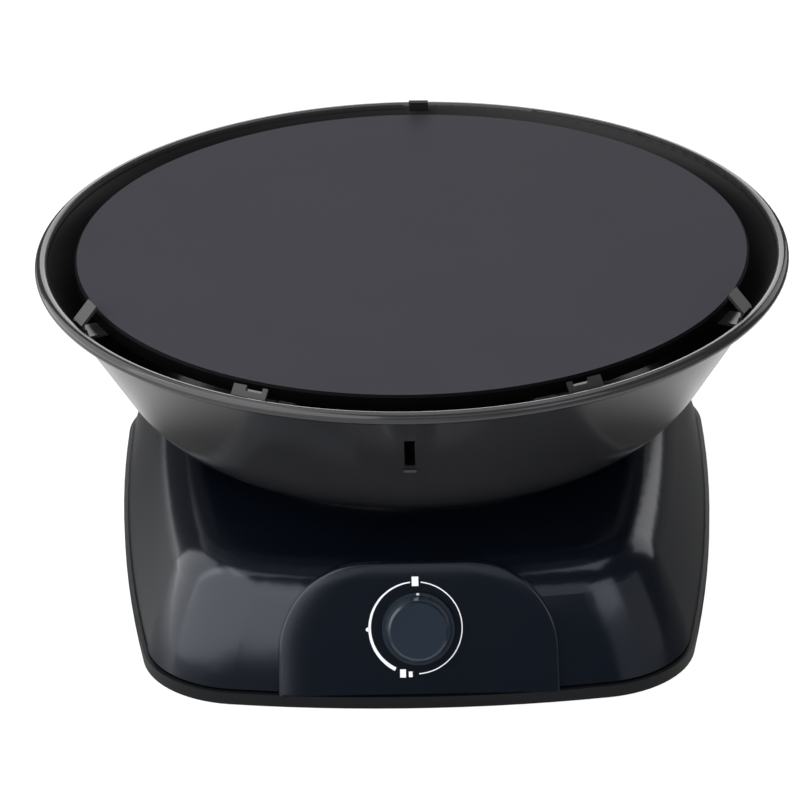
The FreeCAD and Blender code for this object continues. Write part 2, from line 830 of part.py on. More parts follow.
def make_tray():
    body = new_body("tray_body")
    outline = new_sketch(body, "tray_outline", "XY_Plane", s.tray_bottom)
    foot_outline(outline, as_size(0))
    extrude(body, "tray_block", outline, s.seam_height - s.tray_bottom)
    doc.recompute()
    volume = body.Shape.Volume
    hollow = new_sketch(body, "tray_hollow_outline", "XY_Plane", s.seam_height)
    foot_outline(hollow, s.tray_wall)
    extrude(body, "tray_hollow", hollow, s.seam_height - tray_inside, kind="Pocket")
    volume = must_change(body, volume, "tray hollow")
    # Lip that stands inside the cover and closes the seam
    lip = new_sketch(body, "tray_lip_outline", "XY_Plane", s.tray_bottom)
    lip_inset = s.tray_border + s.cover_wall + s.lip_gap
    foot_outline(lip, lip_inset)
    foot_outline(lip, lip_inset + s.lip_thickness)
    extrude(body, "tray_lip", lip, cover_bottom + s.lip_height - s.tray_bottom)
    volume = must_change(body, volume, "tray lip")
    bosses = new_sketch(body, "tray_boss_outline", "XY_Plane", s.tray_bottom)
    for x, y in stand_screws:
        ring(bosses, x, y, s.stand_boss_radius)
    extrude(body, "tray_bosses", bosses, stand_foot_height - s.tray_bottom)
    volume = must_change(body, volume, "tray bosses")
    holes = new_sketch(body, "tray_hole_outline", "XY_Plane", s.tray_bottom)
    for x, y in cover_posts + stand_screws:
        ring(holes, x, y, s.screw_radius + s.screw_clearance)
    for x, y in feet:
        ring(holes, x, y, s.foot_stem_radius + s.foot_clearance)
    extrude(body, "tray_holes", holes, s.seam_height + s.overrun, kind="Pocket", reverse=True)
    volume = must_change(body, volume, "tray holes")
    # Air slots under the burner, in two rows
    for side, name in ((-1, "left"), (1, "right")):
        vents = new_sketch(body, "tray_vents_" + name, "XY_Plane", s.tray_bottom)
        middle = side * s.vent_offset
        steps = int(s.vent_count.number)
        for step in range(steps):
            y = s.vent_pitch * (step - (steps - 1) / 2)
            rectangle(vents, middle - s.vent_length / 2, y - s.vent_width / 2,
                      middle + s.vent_length / 2, y + s.vent_width / 2)
        extrude(body, "tray_vent_cut_" + name, vents, s.tray_floor + s.overrun / 2,
                kind="Pocket", reverse=True)
        volume = must_change(body, volume, "tray vents")
    return node("base_tray", body)


def on_console(thing, shift=0):
    """Places a piece modelled about the knob's axis: its +Z is the console face's outward normal."""
    return place(thing, 0, knob_y + shift, knob_z, (1, 0, 0), QUARTER_TURN - s.console_lean)


def console_point(x, depth):
    """World coordinates of a point behind the console's face on the knob's axis, set over by x."""
    return x, knob_y + depth * cosine(s.console_lean), knob_z - depth * sine(s.console_lean)


def console_sketch(body, name, depth=0):
    sketch = new_sketch(body, name, "XZ_Plane")
    sketch.AttachmentOffset = FreeCAD.Placement(
        vector(0, 0, 0), FreeCAD.Rotation(FreeCAD.Vector(-1, 0, 0), s.console_lean.number))
    bind(sketch, "AttachmentOffset.Base.y", cover_bottom - depth * sine(s.console_lean))
    bind(sketch, "AttachmentOffset.Base.z", console_foot_y - depth * cosine(s.console_lean))
    bind(sketch, "AttachmentOffset.Rotation.Angle", s.console_lean)
    return sketch


def console_arch(sketch, inset, low):
    """Tapered sides, rounded top corners: the console's front outline, drawn in by inset."""
    taper = s.console_taper
    radius = s.console_corner - inset
    top = s.console_length - inset
    edge = s.console_half_width - inset / cosine(taper)
    centre_v = top - radius
    centre_x = edge - centre_v * tangent(taper) - radius / cosine(taper)
    side_x = centre_x + radius * cosine(taper)
    side_v = centre_v + radius * sine(taper)
    low_x = edge - low * tangent(taper)
    trace(sketch, [(-low_x, low), (low_x, low), (side_x, side_v), (centre_x, top),
                   (-centre_x, top), (-side_x, side_v)],
          arcs={2: ((centre_x, centre_v), radius, 1), 4: ((-centre_x, centre_v), radius, 1)})


def edges_where(shape, test):
    return ["Edge%d" % number for number, edge in enumerate(shape.Edges, start=1) if test(edge)]


def round_edges(body, name, base, edges, radius):
    thing = body.newObject("PartDesign::Fillet", name)
    thing.Base = (base, edges)
    bind(thing, "Radius", radius)
    return thing


def make_cover():
    body = new_body("cover_body")
    low = new_sketch(body, "cover_foot_outline", "XY_Plane", cover_bottom)
    cover_outline(low, 0, as_size(0))
    waist = new_sketch(body, "cover_waist_outline", "XY_Plane",
                       cover_bottom + (s.cover_top - cover_bottom) * s.cover_bulge_share)
    cover_outline(waist, s.cover_bulge_share, as_size(0))
    high = new_sketch(body, "cover_top_outline", "XY_Plane", s.cover_top)
    cover_outline(high, 1, as_size(0))
    shell = feature(body, "AdditiveLoft", "cover_form", high)
    shell.Sections = [waist, low]
    doc.recompute()
    top = s.cover_top.number
    rim = edges_where(shell.Shape, lambda edge: min(v.Z for v in edge.Vertexes) > top - CLOSE)
    round_edges(body, "cover_shoulder", shell, rim, s.cover_shoulder_radius)
    doc.recompute()
    volume = body.Shape.Volume
    face = console_sketch(body, "console_outline")
    console_arch(face, as_size(0), as_size(0))
    console = extrude(body, "console", face, s.console_depth, reverse=True)
    volume = must_change(body, volume, "console")
    lean = math.radians(s.console_lean.number)
    foot_y = -console_foot_y.number
    foot_z = cover_bottom.number

    def on_face(point):
        return abs((point.y - foot_y) * math.cos(lean) - (point.z - foot_z) * math.sin(lean)) < CLOSE

    def front_edge(edge):
        middle = edge.valueAt((edge.FirstParameter + edge.LastParameter) / 2)
        points = [middle] + [vertex.Point for vertex in edge.Vertexes]
        return all(on_face(point) for point in points) and middle.z > foot_z + CLOSE

    round_edges(body, "console_edge", console, edges_where(console.Shape, front_edge), s.console_edge_radius)
    volume = must_change(body, volume, "console edge")
    # Hollow the form and the console behind its face, and trim both at the seam
    low_in = new_sketch(body, "cover_hollow_foot", "XY_Plane", cover_bottom)
    cover_outline(low_in, 0, s.cover_wall)
    # Inside, the shoulder is cut in flats between points of the arc that leaves one wall's thickness
    shoulder = s.cover_top - s.cover_shoulder_radius
    inside = s.cover_shoulder_radius - s.cover_wall
    rises = []
    for step in range(HOLLOW_STEPS + 1):
        turn = as_size(QUARTER_TURN) * (step / HOLLOW_STEPS)
        rise = shoulder + inside * sine(turn)
        section = new_sketch(body, "cover_hollow_rise_%d" % step, "XY_Plane", rise)
        share = (rise - cover_bottom) / (s.cover_top - cover_bottom)
        cover_outline(section, share, s.cover_shoulder_radius - inside * cosine(turn))
        rises.append(section)
    hollow = feature(body, "SubtractiveLoft", "cover_hollow", rises[-1])
    hollow.Sections = rises[-2::-1] + [low_in]
    hollow.Ruled = True
    volume = must_change(body, volume, "cover hollow")
    inner = console_sketch(body, "console_hollow_outline", s.cover_wall)
    console_arch(inner, s.cover_wall, -s.console_depth)
    extrude(body, "console_hollow", inner, s.console_depth, kind="Pocket")
    volume = must_change(body, volume, "console hollow")
    trim = new_sketch(body, "cover_trim_outline", "XY_Plane", cover_bottom)
    rectangle(trim, -s.base_half_width, -s.base_front - s.overrun, s.base_half_width, s.base_rear)
    extrude(body, "cover_trim", trim, s.console_depth, kind="Pocket")
    doc.recompute()
    volume = body.Shape.Volume
    # Posts for the screws that come up through the tray
    posts = new_sketch(body, "cover_post_outline", "XY_Plane", tray_inside + s.seat_gap)
    for x, y in cover_posts:
        ring(posts, x, y, s.post_radius)
    extrude(body, "cover_posts", posts, cover_inner_top + s.cover_wall / 2 - tray_inside - s.seat_gap)
    volume = must_change(body, volume, "cover posts")
    pilots = new_sketch(body, "cover_pilot_outline", "XY_Plane", tray_inside + s.seat_gap)
    for x, y in cover_posts:
        ring(pilots, x, y, s.post_hole_radius)
    extrude(body, "cover_pilots", pilots, s.post_hole_depth, kind="Pocket", reverse=True)
    volume = must_change(body, volume, "cover pilots")
    # Bosses behind the console for the valve bracket
    bosses = console_sketch(body, "console_boss_outline", s.cover_wall / 2)
    boss_x = s.valve_bracket_half_width + s.valve_bracket_foot / 2
    for side in (-1, 1):
        ring(bosses, side * boss_x, s.knob_rise, s.bracket_boss_radius)
    extrude(body, "console_bosses", bosses, s.cover_wall / 2 + s.bracket_boss_length, reverse=True)
    volume = must_change(body, volume, "console bosses")
    boss_holes = console_sketch(body, "console_boss_hole_outline", s.cover_wall + s.bracket_boss_length)
    for side in (-1, 1):
        ring(boss_holes, side * boss_x, s.knob_rise, s.post_hole_radius)
    extrude(body, "console_boss_holes", boss_holes, s.cover_wall / 2 + s.bracket_boss_length,
            kind="Pocket", reverse=True)
    volume = must_change(body, volume, "console boss holes")
    stem = console_sketch(body, "stem_hole_outline")
    ring(stem, 0, s.knob_rise, s.stem_hole_radius)
    extrude(body, "stem_hole", stem, s.cover_wall * 2, kind="Pocket")
    volume = must_change(body, volume, "stem hole")
    well = new_sketch(body, "burner_well_outline", "XY_Plane", s.cover_top)
    ring(well, 0, 0, s.cover_hole_radius)
    extrude(body, "burner_well", well, s.cover_wall * 2, kind="Pocket")
    volume = must_change(body, volume, "burner well")
    screws = new_sketch(body, "shield_screw_hole_outline", "XY_Plane", s.cover_top)
    for x, y in shield_screws:
        ring(screws, x, y, s.post_hole_radius)
    extrude(body, "shield_screw_holes", screws, s.cover_wall * 2, kind="Pocket")
    volume = must_change(body, volume, "shield screw holes")
    inlet = new_sketch(body, "inlet_hole_outline", "XZ_Plane", -cover_rear)
    ring(inlet, pipe_x, inlet_z, s.inlet_neck_radius + s.inlet_hole_clearance)
    extrude(body, "inlet_hole", inlet, s.cover_wall * 2, kind="Pocket", reverse=True)
    must_change(body, volume, "inlet hole")
    return node("base_cover", body)


shield_seat_inner = s.bowl_floor_radius - s.shield_seat_width
shield_screw_circle = (s.shield_bore + s.shield_sheet + shield_seat_inner) / 2
shield_screws = []
for step in range(int(s.shield_screw_count.number)):
    turn = FULL_TURN / s.shield_screw_count * step + QUARTER_TURN
    shield_screws.append((shield_screw_circle * cosine(turn), shield_screw_circle * sine(turn)))

# The gas inlet lines up with the boss on the valve's side, and the outlet runs back from the valve's end
inlet_boss = console_point(0, s.inlet_boss_setback)
inlet_z = inlet_boss[2]
pipe_x = s.base_half_width - s.pipe_side
valve_end = console_point(0, s.valve_bracket_depth + s.valve_bracket_sheet + s.valve_length)
outlet_end = -valve_end[1] - s.outlet_length
mixer_bell_start = outlet_end + s.mixer_bell_lap


def make_shield():
    body = new_body("shield_body")
    sheet_size = s.shield_sheet
    flat = s.cover_top + sheet_size
    profile = new_sketch(body, "shield_section", "XZ_Plane")
    trace(profile, [
        (s.shield_bore, flat - s.shield_lip),
        (s.shield_bore + sheet_size, flat - s.shield_lip),
        (s.shield_bore + sheet_size, s.cover_top),
        (shield_seat_inner + sheet_size, s.cover_top),
        (shield_seat_inner + sheet_size, shield_seat - sheet_size),
        (s.bowl_floor_radius - sheet_size, shield_seat - sheet_size),
        (s.bowl_floor_radius - sheet_size, s.cover_top),
        (s.bowl_floor_radius, s.cover_top),
        (s.bowl_floor_radius, shield_seat),
        (shield_seat_inner, shield_seat),
        (shield_seat_inner, flat),
        (s.shield_bore, flat),
    ])
    revolve(body, "shield_pressing", profile)
    doc.recompute()
    volume = body.Shape.Volume
    holes = new_sketch(body, "shield_hole_outline", "XY_Plane", flat)
    for x, y in shield_screws:
        ring(holes, x, y, s.screw_radius + s.screw_clearance)
    extrude(body, "shield_holes", holes, sheet_size * 2, kind="Pocket")
    must_change(body, volume, "shield holes")
    return node("heat_shield", body)


burner_seat = s.stand_top
throat_radius = s.mixer_radius + s.throat_clearance


def make_burner():
    body = new_body("burner_body")
    top = burner_seat + s.burner_height
    inner = s.burner_radius - s.burner_wall
    profile = new_sketch(body, "burner_section", "XZ_Plane")
    trace(profile, [
        (throat_radius, burner_seat),
        (s.burner_radius, burner_seat),
        (s.burner_radius, top),
        (inner, top),
        (inner, burner_seat + s.burner_floor),
        (throat_radius, burner_seat + s.burner_floor),
    ])
    revolve(body, "burner_cup", profile)
    doc.recompute()
    volume = body.Shape.Volume
    port = new_sketch(body, "burner_port_outline", "XY_Plane", top)
    rectangle(port, inner - s.burner_wall, -s.burner_port_width / 2,
              s.burner_radius + s.overrun, s.burner_port_width / 2)
    first_port = extrude(body, "burner_port", port, s.burner_port_depth, kind="Pocket")
    must_change(body, volume, "burner port")
    polar(body, "burner_ports", first_port, port, s.burner_port_count)
    node("burner_head", body)

    cap = new_body("cap_body")
    ring_outer = inner - s.cap_ring_gap
    ring_inner = ring_outer - s.cap_ring_wall
    cap_profile = new_sketch(cap, "cap_section", "XZ_Plane")
    trace(cap_profile, [
        (0, top),
        (ring_inner, top),
        (ring_inner, top - s.cap_ring_depth),
        (ring_outer, top - s.cap_ring_depth),
        (ring_outer, top),
        ((s.burner_radius + s.cap_overhang), top),
        ((s.burner_radius + s.cap_overhang), top + s.cap_thickness),
        (0, top + s.cap_thickness + s.cap_crown),
    ])
    revolve(cap, "cap_disc", cap_profile)
    node("burner_cap", cap)


def make_stand():
    body = new_body("stand_body")
    sheet_size = s.stand_sheet
    wide = s.stand_half_width
    slim = wide - sheet_size
    reach = wide + s.stand_foot
    low = stand_foot_height
    profile = new_sketch(body, "stand_section", "XZ_Plane")
    trace(profile, [
        (-reach, low), (-slim, low), (-slim, s.stand_top - sheet_size), (slim, s.stand_top - sheet_size),
        (slim, low), (reach, low), (reach, low + sheet_size), (wide, low + sheet_size),
        (wide, s.stand_top), (-wide, s.stand_top), (-wide, low + sheet_size), (-reach, low + sheet_size)])
    extrude(body, "stand_bridge", profile, s.stand_depth, symmetric=True)
    doc.recompute()
    volume = body.Shape.Volume
    holes = new_sketch(body, "stand_hole_outline", "XY_Plane", s.stand_top)
    ring(holes, 0, 0, throat_radius)
    for x, y in stand_screws:
        ring(holes, x, y, s.screw_radius + s.screw_clearance)
    extrude(body, "stand_holes", holes, s.stand_top, kind="Pocket")
    must_change(body, volume, "stand holes")
    return node("burner_stand", body)


bell_inner = s.outlet_radius + s.mixer_bell_gap
bell_outer = bell_inner + s.mixer_bell_wall
bell_end = mixer_bell_start - s.mixer_bell_length


def make_mixer():
    body = new_body("mixer_body")
    bore = s.mixer_radius - s.mixer_wall
    spine = new_sketch(body, "mixer_path", "YZ_Plane")
    trace(spine, [
        (-bell_end, s.mixer_height),
        (-s.mixer_bend, s.mixer_height),
        (0, s.mixer_height + s.mixer_bend),
        (0, burner_seat + s.mixer_insert),
    ], arcs={1: ((-s.mixer_bend, s.mixer_height + s.mixer_bend), s.mixer_bend, 1)}, closed=False)
    section = new_sketch(body, "mixer_section", "XZ_Plane", bell_end)
    ring(section, 0, s.mixer_height, s.mixer_radius, bore)
    tube = feature(body, "AdditivePipe", "mixer_pipe", section)
    tube.Spine = (spine, ["Edge1", "Edge2", "Edge3"])
    doc.recompute()
    volume = body.Shape.Volume
    bell = new_sketch(body, "mixer_bell_section", "XZ_Plane", bell_end)
    ring(bell, 0, s.mixer_height, bell_outer, bell_inner)
    extrude(body, "mixer_bell", bell, s.mixer_bell_length)
    step = new_sketch(body, "mixer_step_section", "XZ_Plane", bell_end)
    ring(step, 0, s.mixer_height, bell_outer, bore)
    extrude(body, "mixer_step", step, s.mixer_bell_step, reverse=True)
    volume = must_change(body, volume, "mixer bell")
    ports = new_sketch(body, "air_port_outline", "YZ_Plane")
    port_far = mixer_bell_start - s.air_port_setback
    rectangle(ports, -port_far, s.mixer_height - s.air_port_height / 2,
              s.air_port_length - port_far, s.mixer_height + s.air_port_height / 2)
    extrude(body, "air_ports", ports, bell_outer * 3, kind="Pocket", symmetric=True)
    must_change(body, volume, "air ports")
    return node("mixer_tube", body)


def make_injector():
    base = {"x": 0, "z": s.mixer_height, **ALONG_Y}
    nut = hexagon("injector_nut", s.injector_hex, s.injector_hex_length, y=-outlet_end, **base)
    nose = cone("injector_nose", s.injector_tip_radius, s.injector_nose_radius, s.injector_nose_length,
                y=s.injector_hex_length - outlet_end, **base)
    hole = cylinder("injector_hole", s.injector_orifice, outlet_end, y=-outlet_end, **base)
    return node("injector", in_frame(cut("injector_cut", fuse("injector_solid", nut, nose), hole)))


def make_valve():
    front = s.valve_bracket_depth + s.valve_bracket_sheet
    flange = cylinder("valve_flange", s.valve_flange_radius, s.valve_flange_thickness,
                      z=-front - s.valve_flange_thickness)
    barrel = cylinder("valve_barrel", s.valve_radius, s.valve_length, z=-front - s.valve_length)
    housing = on_console(fuse("valve_housing", flange, barrel))
    outlet = cylinder("valve_outlet", s.outlet_radius, s.outlet_length + s.outlet_overlap,
                      y=valve_end[1] - s.outlet_overlap, z=s.mixer_height, **ALONG_Y)
    boss = cylinder("valve_inlet_boss", s.inlet_boss_radius, s.inlet_boss_reach,
                    y=inlet_boss[1], z=inlet_boss[2], **ALONG_X)
    solid = fuse("valve_solid", housing, outlet, boss)
    bore = cylinder("valve_bore", s.stem_radius + s.stem_clearance, s.valve_bore_depth + s.overrun,
                    z=-front - s.valve_bore_depth)
    node("gas_valve_body", in_frame(cut("valve_cut", solid, on_console(group("valve_bore_tool", [bore])))))

    # Bracket that hangs the valve behind the console
    sheet_size = s.valve_bracket_sheet
    seat = s.cover_wall + s.bracket_boss_length
    body = new_body("valve_bracket_body")
    wide = s.valve_bracket_half_width
    slim = wide - sheet_size
    reach = wide + s.valve_bracket_foot
    profile = new_sketch(body, "valve_bracket_section", "XZ_Plane")
    trace(profile, [
        (-wide, -front), (wide, -front), (wide, -seat - sheet_size), (reach, -seat - sheet_size),
        (reach, -seat), (slim, -seat), (slim, -s.valve_bracket_depth), (-slim, -s.valve_bracket_depth),
        (-slim, -seat), (-reach, -seat), (-reach, -seat - sheet_size), (-wide, -seat - sheet_size)])
    extrude(body, "valve_bracket_channel", profile, s.valve_bracket_height, symmetric=True)
    doc.recompute()
    volume = body.Shape.Volume
    holes = new_sketch(body, "valve_bracket_hole_outline", "XY_Plane", -seat)
    ring(holes, 0, 0, s.valve_bracket_hole_radius)
    screw_x = wide + s.valve_bracket_foot / 2
    for side in (-1, 1):
        ring(holes, side * screw_x, 0, s.screw_radius + s.screw_clearance)
    extrude(body, "valve_bracket_holes", holes, front, kind="Pocket")
    must_change(body, volume, "valve bracket holes")
    node("valve_bracket", on_console(body, frame_shift))

    screws = []
    for side in (-1, 1):
        head = cylinder("valve_screw_head", s.screw_head_radius, s.screw_head_height,
                        x=side * screw_x, z=-seat - sheet_size - s.screw_head_height)
        shank = cylinder("valve_screw_shank", s.screw_radius, s.valve_screw_length,
                         x=side * screw_x, z=-seat - sheet_size)
        screws.append(fuse("valve_screw", head, shank))
    node("valve_screws", on_console(group("valve_screw_pair", screws), frame_shift))

    # Piezo unit beside the valve, on the same bracket
    case = cylinder("piezo_case", s.piezo_radius, s.piezo_length,
                    x=-s.piezo_offset, z=-front - s.piezo_length)
    terminal = cylinder("piezo_terminal", s.piezo_terminal_radius, s.piezo_terminal_length,
                        x=-s.piezo_offset, z=-front - s.piezo_length - s.piezo_terminal_length)
    node("piezo_igniter", on_console(fuse("piezo_solid", case, terminal), frame_shift))


def make_stem_and_knob():
    inside = knob_top - s.knob_wall
    rod = cylinder("stem_rod", s.stem_radius, s.stem_inner_end + inside, z=-s.stem_inner_end)
    flat = box("stem_flat_cut", s.stem_radius * 2, s.stem_radius * 2, s.stem_flat_length + s.overrun,
               x=-s.stem_radius, y=s.stem_flat, z=inside - s.stem_flat_length)
    node("valve_stem", on_console(cut("stem_solid", rod, flat), frame_shift))

    washer = cylinder("washer_disc", s.washer_radius, s.washer_thickness, z=-s.washer_depth)
    hole = cylinder("washer_hole", s.stem_radius + s.stem_clearance, s.washer_thickness + s.overrun * 2,
                    z=-s.washer_depth - s.overrun)
    node("thrust_washer", on_console(cut("washer_solid", washer, hole), frame_shift))

    # Knob: a hollow cap with a skirt, a hub for the stem, fluted sides and an index notch in the skirt
    body = new_body("knob_body")
    skirt_top = s.knob_gap + s.knob_skirt_height
    profile = new_sketch(body, "knob_section", "XZ_Plane")
    bore = s.stem_radius + s.stem_clearance
    trace(profile, [
        (bore, s.knob_gap),
        (s.knob_hub_radius, s.knob_gap),
        (s.knob_hub_radius, inside),
        (s.knob_face_radius - s.knob_wall, inside),
        (s.knob_shoulder_radius - s.knob_wall, s.knob_gap),
        (s.knob_skirt_radius, s.knob_gap),
        (s.knob_skirt_radius, skirt_top),
        (s.knob_shoulder_radius, skirt_top),
        (s.knob_face_radius, knob_top - s.knob_round),
        (s.knob_face_radius - s.knob_round, knob_top),
        (0, knob_top),
        (0, inside),
        (bore, inside),
    ])
    revolve(body, "knob_cap", profile)
    doc.recompute()
    volume = body.Shape.Volume
    flute = new_sketch(body, "knob_flute_outline", "XY_Plane", skirt_top)
    ring(flute, s.knob_shoulder_radius + s.knob_flute_radius / 2, 0, s.knob_flute_radius)
    first_flute = extrude(body, "knob_flute", flute, s.knob_height, kind="Pocket", reverse=True)
    volume = must_change(body, volume, "knob flute")
    polar(body, "knob_flutes", first_flute, flute, s.knob_flute_count)
    mark = new_sketch(body, "knob_mark_outline", "XY_Plane", skirt_top)
    rectangle(mark, -s.knob_mark_width / 2, s.knob_shoulder_radius,
              s.knob_mark_width / 2, s.knob_skirt_radius + s.overrun)
    extrude(body, "knob_mark", mark, s.knob_mark_depth, kind="Pocket")
    must_change(body, volume, "knob mark")
    node("control_knob", on_console(body, frame_shift))


def make_gas_pipe():
    body = new_body("pipe_body")
    start_x = s.inlet_boss_reach
    y, z = inlet_boss[1], inlet_boss[2]
    pipe_end = cover_rear - s.cover_wall - s.inlet_flange_thickness - s.inlet_tail_length
    path = new_sketch(body, "pipe_path", "XY_Plane", z)
    trace(path, [(start_x, y), (pipe_x - s.pipe_bend, y), (pipe_x, y + s.pipe_bend), (pipe_x, pipe_end)],
          arcs={1: ((pipe_x - s.pipe_bend, y + s.pipe_bend), s.pipe_bend, 1)}, closed=False)
    section = new_sketch(body, "pipe_section", "YZ_Plane", start_x)
    ring(section, y, z, s.pipe_radius, s.pipe_bore)
    tube = feature(body, "AdditivePipe", "pipe_tube", section)
    tube.Spine = (path, ["Edge1", "Edge2", "Edge3"])
    node("gas_pipe", body)

    base = {"x": pipe_x, "z": z, **ALONG_Y}
    wall_inside = cover_rear - s.cover_wall
    neck_length = s.cover_wall + s.nut_thickness
    tail = cylinder("inlet_tail", s.inlet_tail_radius, s.inlet_tail_length, y=pipe_end, **base)
    flange = hexagon("inlet_flange", s.inlet_flange_radius, s.inlet_flange_thickness,
                     y=wall_inside - s.inlet_flange_thickness, **base)
    neck = cylinder("inlet_neck", s.inlet_neck_radius, neck_length, y=wall_inside, **base)
    thread = cylinder("inlet_thread", s.inlet_thread_radius, s.inlet_thread_length,
                      y=wall_inside + neck_length, **base)
    bore = cylinder("inlet_bore_cut", s.inlet_bore, s.base_rear, y=pipe_end - s.overrun, **base)
    node("gas_inlet", in_frame(cut("inlet_cut", fuse("inlet_solid", tail, flange, neck, thread), bore)))
    nut = hexagon("nut_hex", s.nut_radius, s.nut_thickness, y=cover_rear, **base)
    hole = cylinder("nut_hole", s.inlet_thread_radius + s.nut_clearance, s.nut_thickness + s.overrun * 2,
                    y=cover_rear - s.overrun, **base)
    node("inlet_nut", in_frame(cut("nut_cut", nut, hole)))


def make_electrode():
    strip_top = s.stand_top - s.stand_sheet
    strip_low = strip_top - s.electrode_strip_sheet
    strip_end = s.electrode_y + s.electrode_strip_margin
    strip = box("electrode_strip", s.electrode_strip_half_width * 2, strip_end - s.electrode_strip_start,
                s.electrode_strip_sheet, x=-s.electrode_x - s.electrode_strip_half_width,
                y=s.electrode_strip_start, z=strip_low)
    spot = {"x": -s.electrode_x, "y": s.electrode_y}
    hole = cylinder("electrode_strip_hole", s.insulator_radius + s.screw_clearance, s.overrun * 2,
                    z=strip_low - s.overrun, **spot)
    node("electrode_bracket", in_frame(cut("electrode_strip_cut", strip, hole)))

    low = strip_top - s.insulator_drop
    high = strip_top + s.insulator_rise
    body_rod = cylinder("insulator_rod", s.insulator_radius, high - low, z=low, **spot)
    collar = cylinder("insulator_collar", s.insulator_collar_radius, s.insulator_collar_height,
                      z=strip_top, **spot)
    bore = cylinder("insulator_bore", s.electrode_radius + s.electrode_clearance, high - low + s.overrun * 2,
                    z=low - s.overrun, **spot)
    ceramic = fuse("insulator_solid", body_rod, collar)
    node("electrode_insulator", in_frame(cut("insulator_cut", ceramic, bore)))

    # Wire that leaves the ceramic and bends in towards the burner's edge
    tail = low - s.electrode_tail
    tip = strip_top + s.electrode_tip_rise
    wire = cylinder("electrode_wire", s.electrode_radius, tip - tail, z=tail, **spot)
    knuckle = doc.addObject("Part::Sphere", "electrode_knuckle")
    bind(knuckle, "Radius", s.electrode_radius)
    place(knuckle, z=tip, **spot)
    inward = FreeCAD.Vector(s.electrode_x.number, -s.electrode_y.number, 0)
    across = FreeCAD.Vector(0, 0, 1).cross(inward).normalize()
    spur = cylinder("electrode_spur", s.electrode_radius, s.electrode_tip_reach, z=tip,
                    axis=tuple(across), angle=QUARTER_TURN, **spot)
    node("spark_electrode", in_frame(fuse("electrode_solid", wire, knuckle, spur)))

    # Lead from the piezo's terminal along the tray's floor to the electrode's tail
    lead = new_body("lead_body")
    front = s.valve_bracket_depth + s.valve_bracket_sheet
    start = console_point(0, front + s.piezo_length + s.piezo_terminal_length)
    floor = tray_inside + s.lead_radius + s.lead_floor_gap
    slope = s.console_lean
    meet_y = start[1] + (start[2] - floor) / tangent(slope)
    draw_back = s.lead_bend * tangent(slope / 2)
    path = new_sketch(lead, "lead_path", "YZ_Plane", -s.electrode_x)
    trace(path, [
        (start[1], start[2]),
        (meet_y - draw_back * cosine(slope), floor + draw_back * sine(slope)),
        (meet_y + draw_back, floor),
        (s.electrode_y - s.lead_bend, floor),
        (s.electrode_y, floor + s.lead_bend),
        (s.electrode_y, tail),
    ], arcs={1: ((meet_y + draw_back, floor + s.lead_bend), s.lead_bend, 1),
             3: ((s.electrode_y - s.lead_bend, floor + s.lead_bend), s.lead_bend, 1)}, closed=False)
    section = new_sketch(lead, "lead_section", "XY_Plane", tail)
    ring(section, -s.electrode_x, s.electrode_y, s.lead_radius)
    cable = feature(lead, "AdditivePipe", "lead_cable", section)
    cable.Spine = (path, ["Edge%d" % number for number in range(1, 6)])
    node("igniter_lead", lead)


def screw_set(label, places, seat, length, up):
    """Pan-head screws on a face at height seat: up is 1 if they are driven upwards, -1 if downwards."""
    screws = []
    for x, y in places:
        head_z = seat - s.screw_head_height if up > 0 else seat
        shank_z = seat if up > 0 else seat - length
        head = cylinder(label + "_head", s.screw_head_radius, s.screw_head_height, x=x, y=y, z=head_z)
        shank = cylinder(label + "_shank", s.screw_radius, length, x=x, y=y, z=shank_z)
        screws.append(fuse(label + "_screw", head, shank))
    node(label, in_frame(group(label + "_set", screws)))


def make_feet_and_screws():
    rubber = []
    for x, y in feet:
        pad = cylinder("foot_pad", s.foot_radius, s.tray_bottom, x=x, y=y)
        stem = cylinder("foot_stem", s.foot_stem_radius, tray_inside, x=x, y=y)
        bead = cone("foot_bead", s.foot_bead_radius, s.foot_stem_radius, s.foot_bead_height,
                    x=x, y=y, z=tray_inside)
        rubber.append(fuse("foot", pad, stem, bead))
    node("rubber_feet", in_frame(group("foot_set", rubber)))
    screw_set("cover_screws", cover_posts, s.tray_bottom, s.cover_screw_length, 1)
    screw_set("stand_screws", stand_screws, stand_foot_height + s.stand_sheet, s.stand_screw_length, -1)
    screw_set("shield_screws", shield_screws, s.cover_top + s.shield_sheet, s.shield_screw_length, -1)


make_bowl()
make_plate()
make_brackets()
make_tray()
make_cover()
make_shield()
make_burner()
make_stand()
make_mixer()
make_injector()
make_valve()
make_stem_and_knob()
make_gas_pipe()
make_electrode()
make_feet_and_screws()
doc.recompute()

for thing in doc.Objects:
    if "Invalid" in thing.State or "Error" in thing.State:
        raise RuntimeError("%s failed: %s" % (thing.Label, thing.State))
for label, thing in nodes.items():
    if thing.Shape.isNull() or not thing.Shape.isValid():
        raise RuntimeError(label + " has no valid shape")

os.makedirs("parts", exist_ok=True)
for label, thing in nodes.items():
    thing.Shape.exportStep("parts/%s.step" % label)
    box_size = thing.Shape.optimalBoundingBox()
    print("%-22s solids %d volume %10.1f  x %7.1f %7.1f  y %7.1f %7.1f  z %6.1f %6.1f" % (
        label, len(thing.Shape.Solids), thing.Shape.Volume, box_size.XMin, box_size.XMax,
        box_size.YMin, box_size.YMax, box_size.ZMin, box_size.ZMax))
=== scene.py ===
import json
import math

import bmesh
import bpy
from mathutils import Matrix, Quaternion, Vector


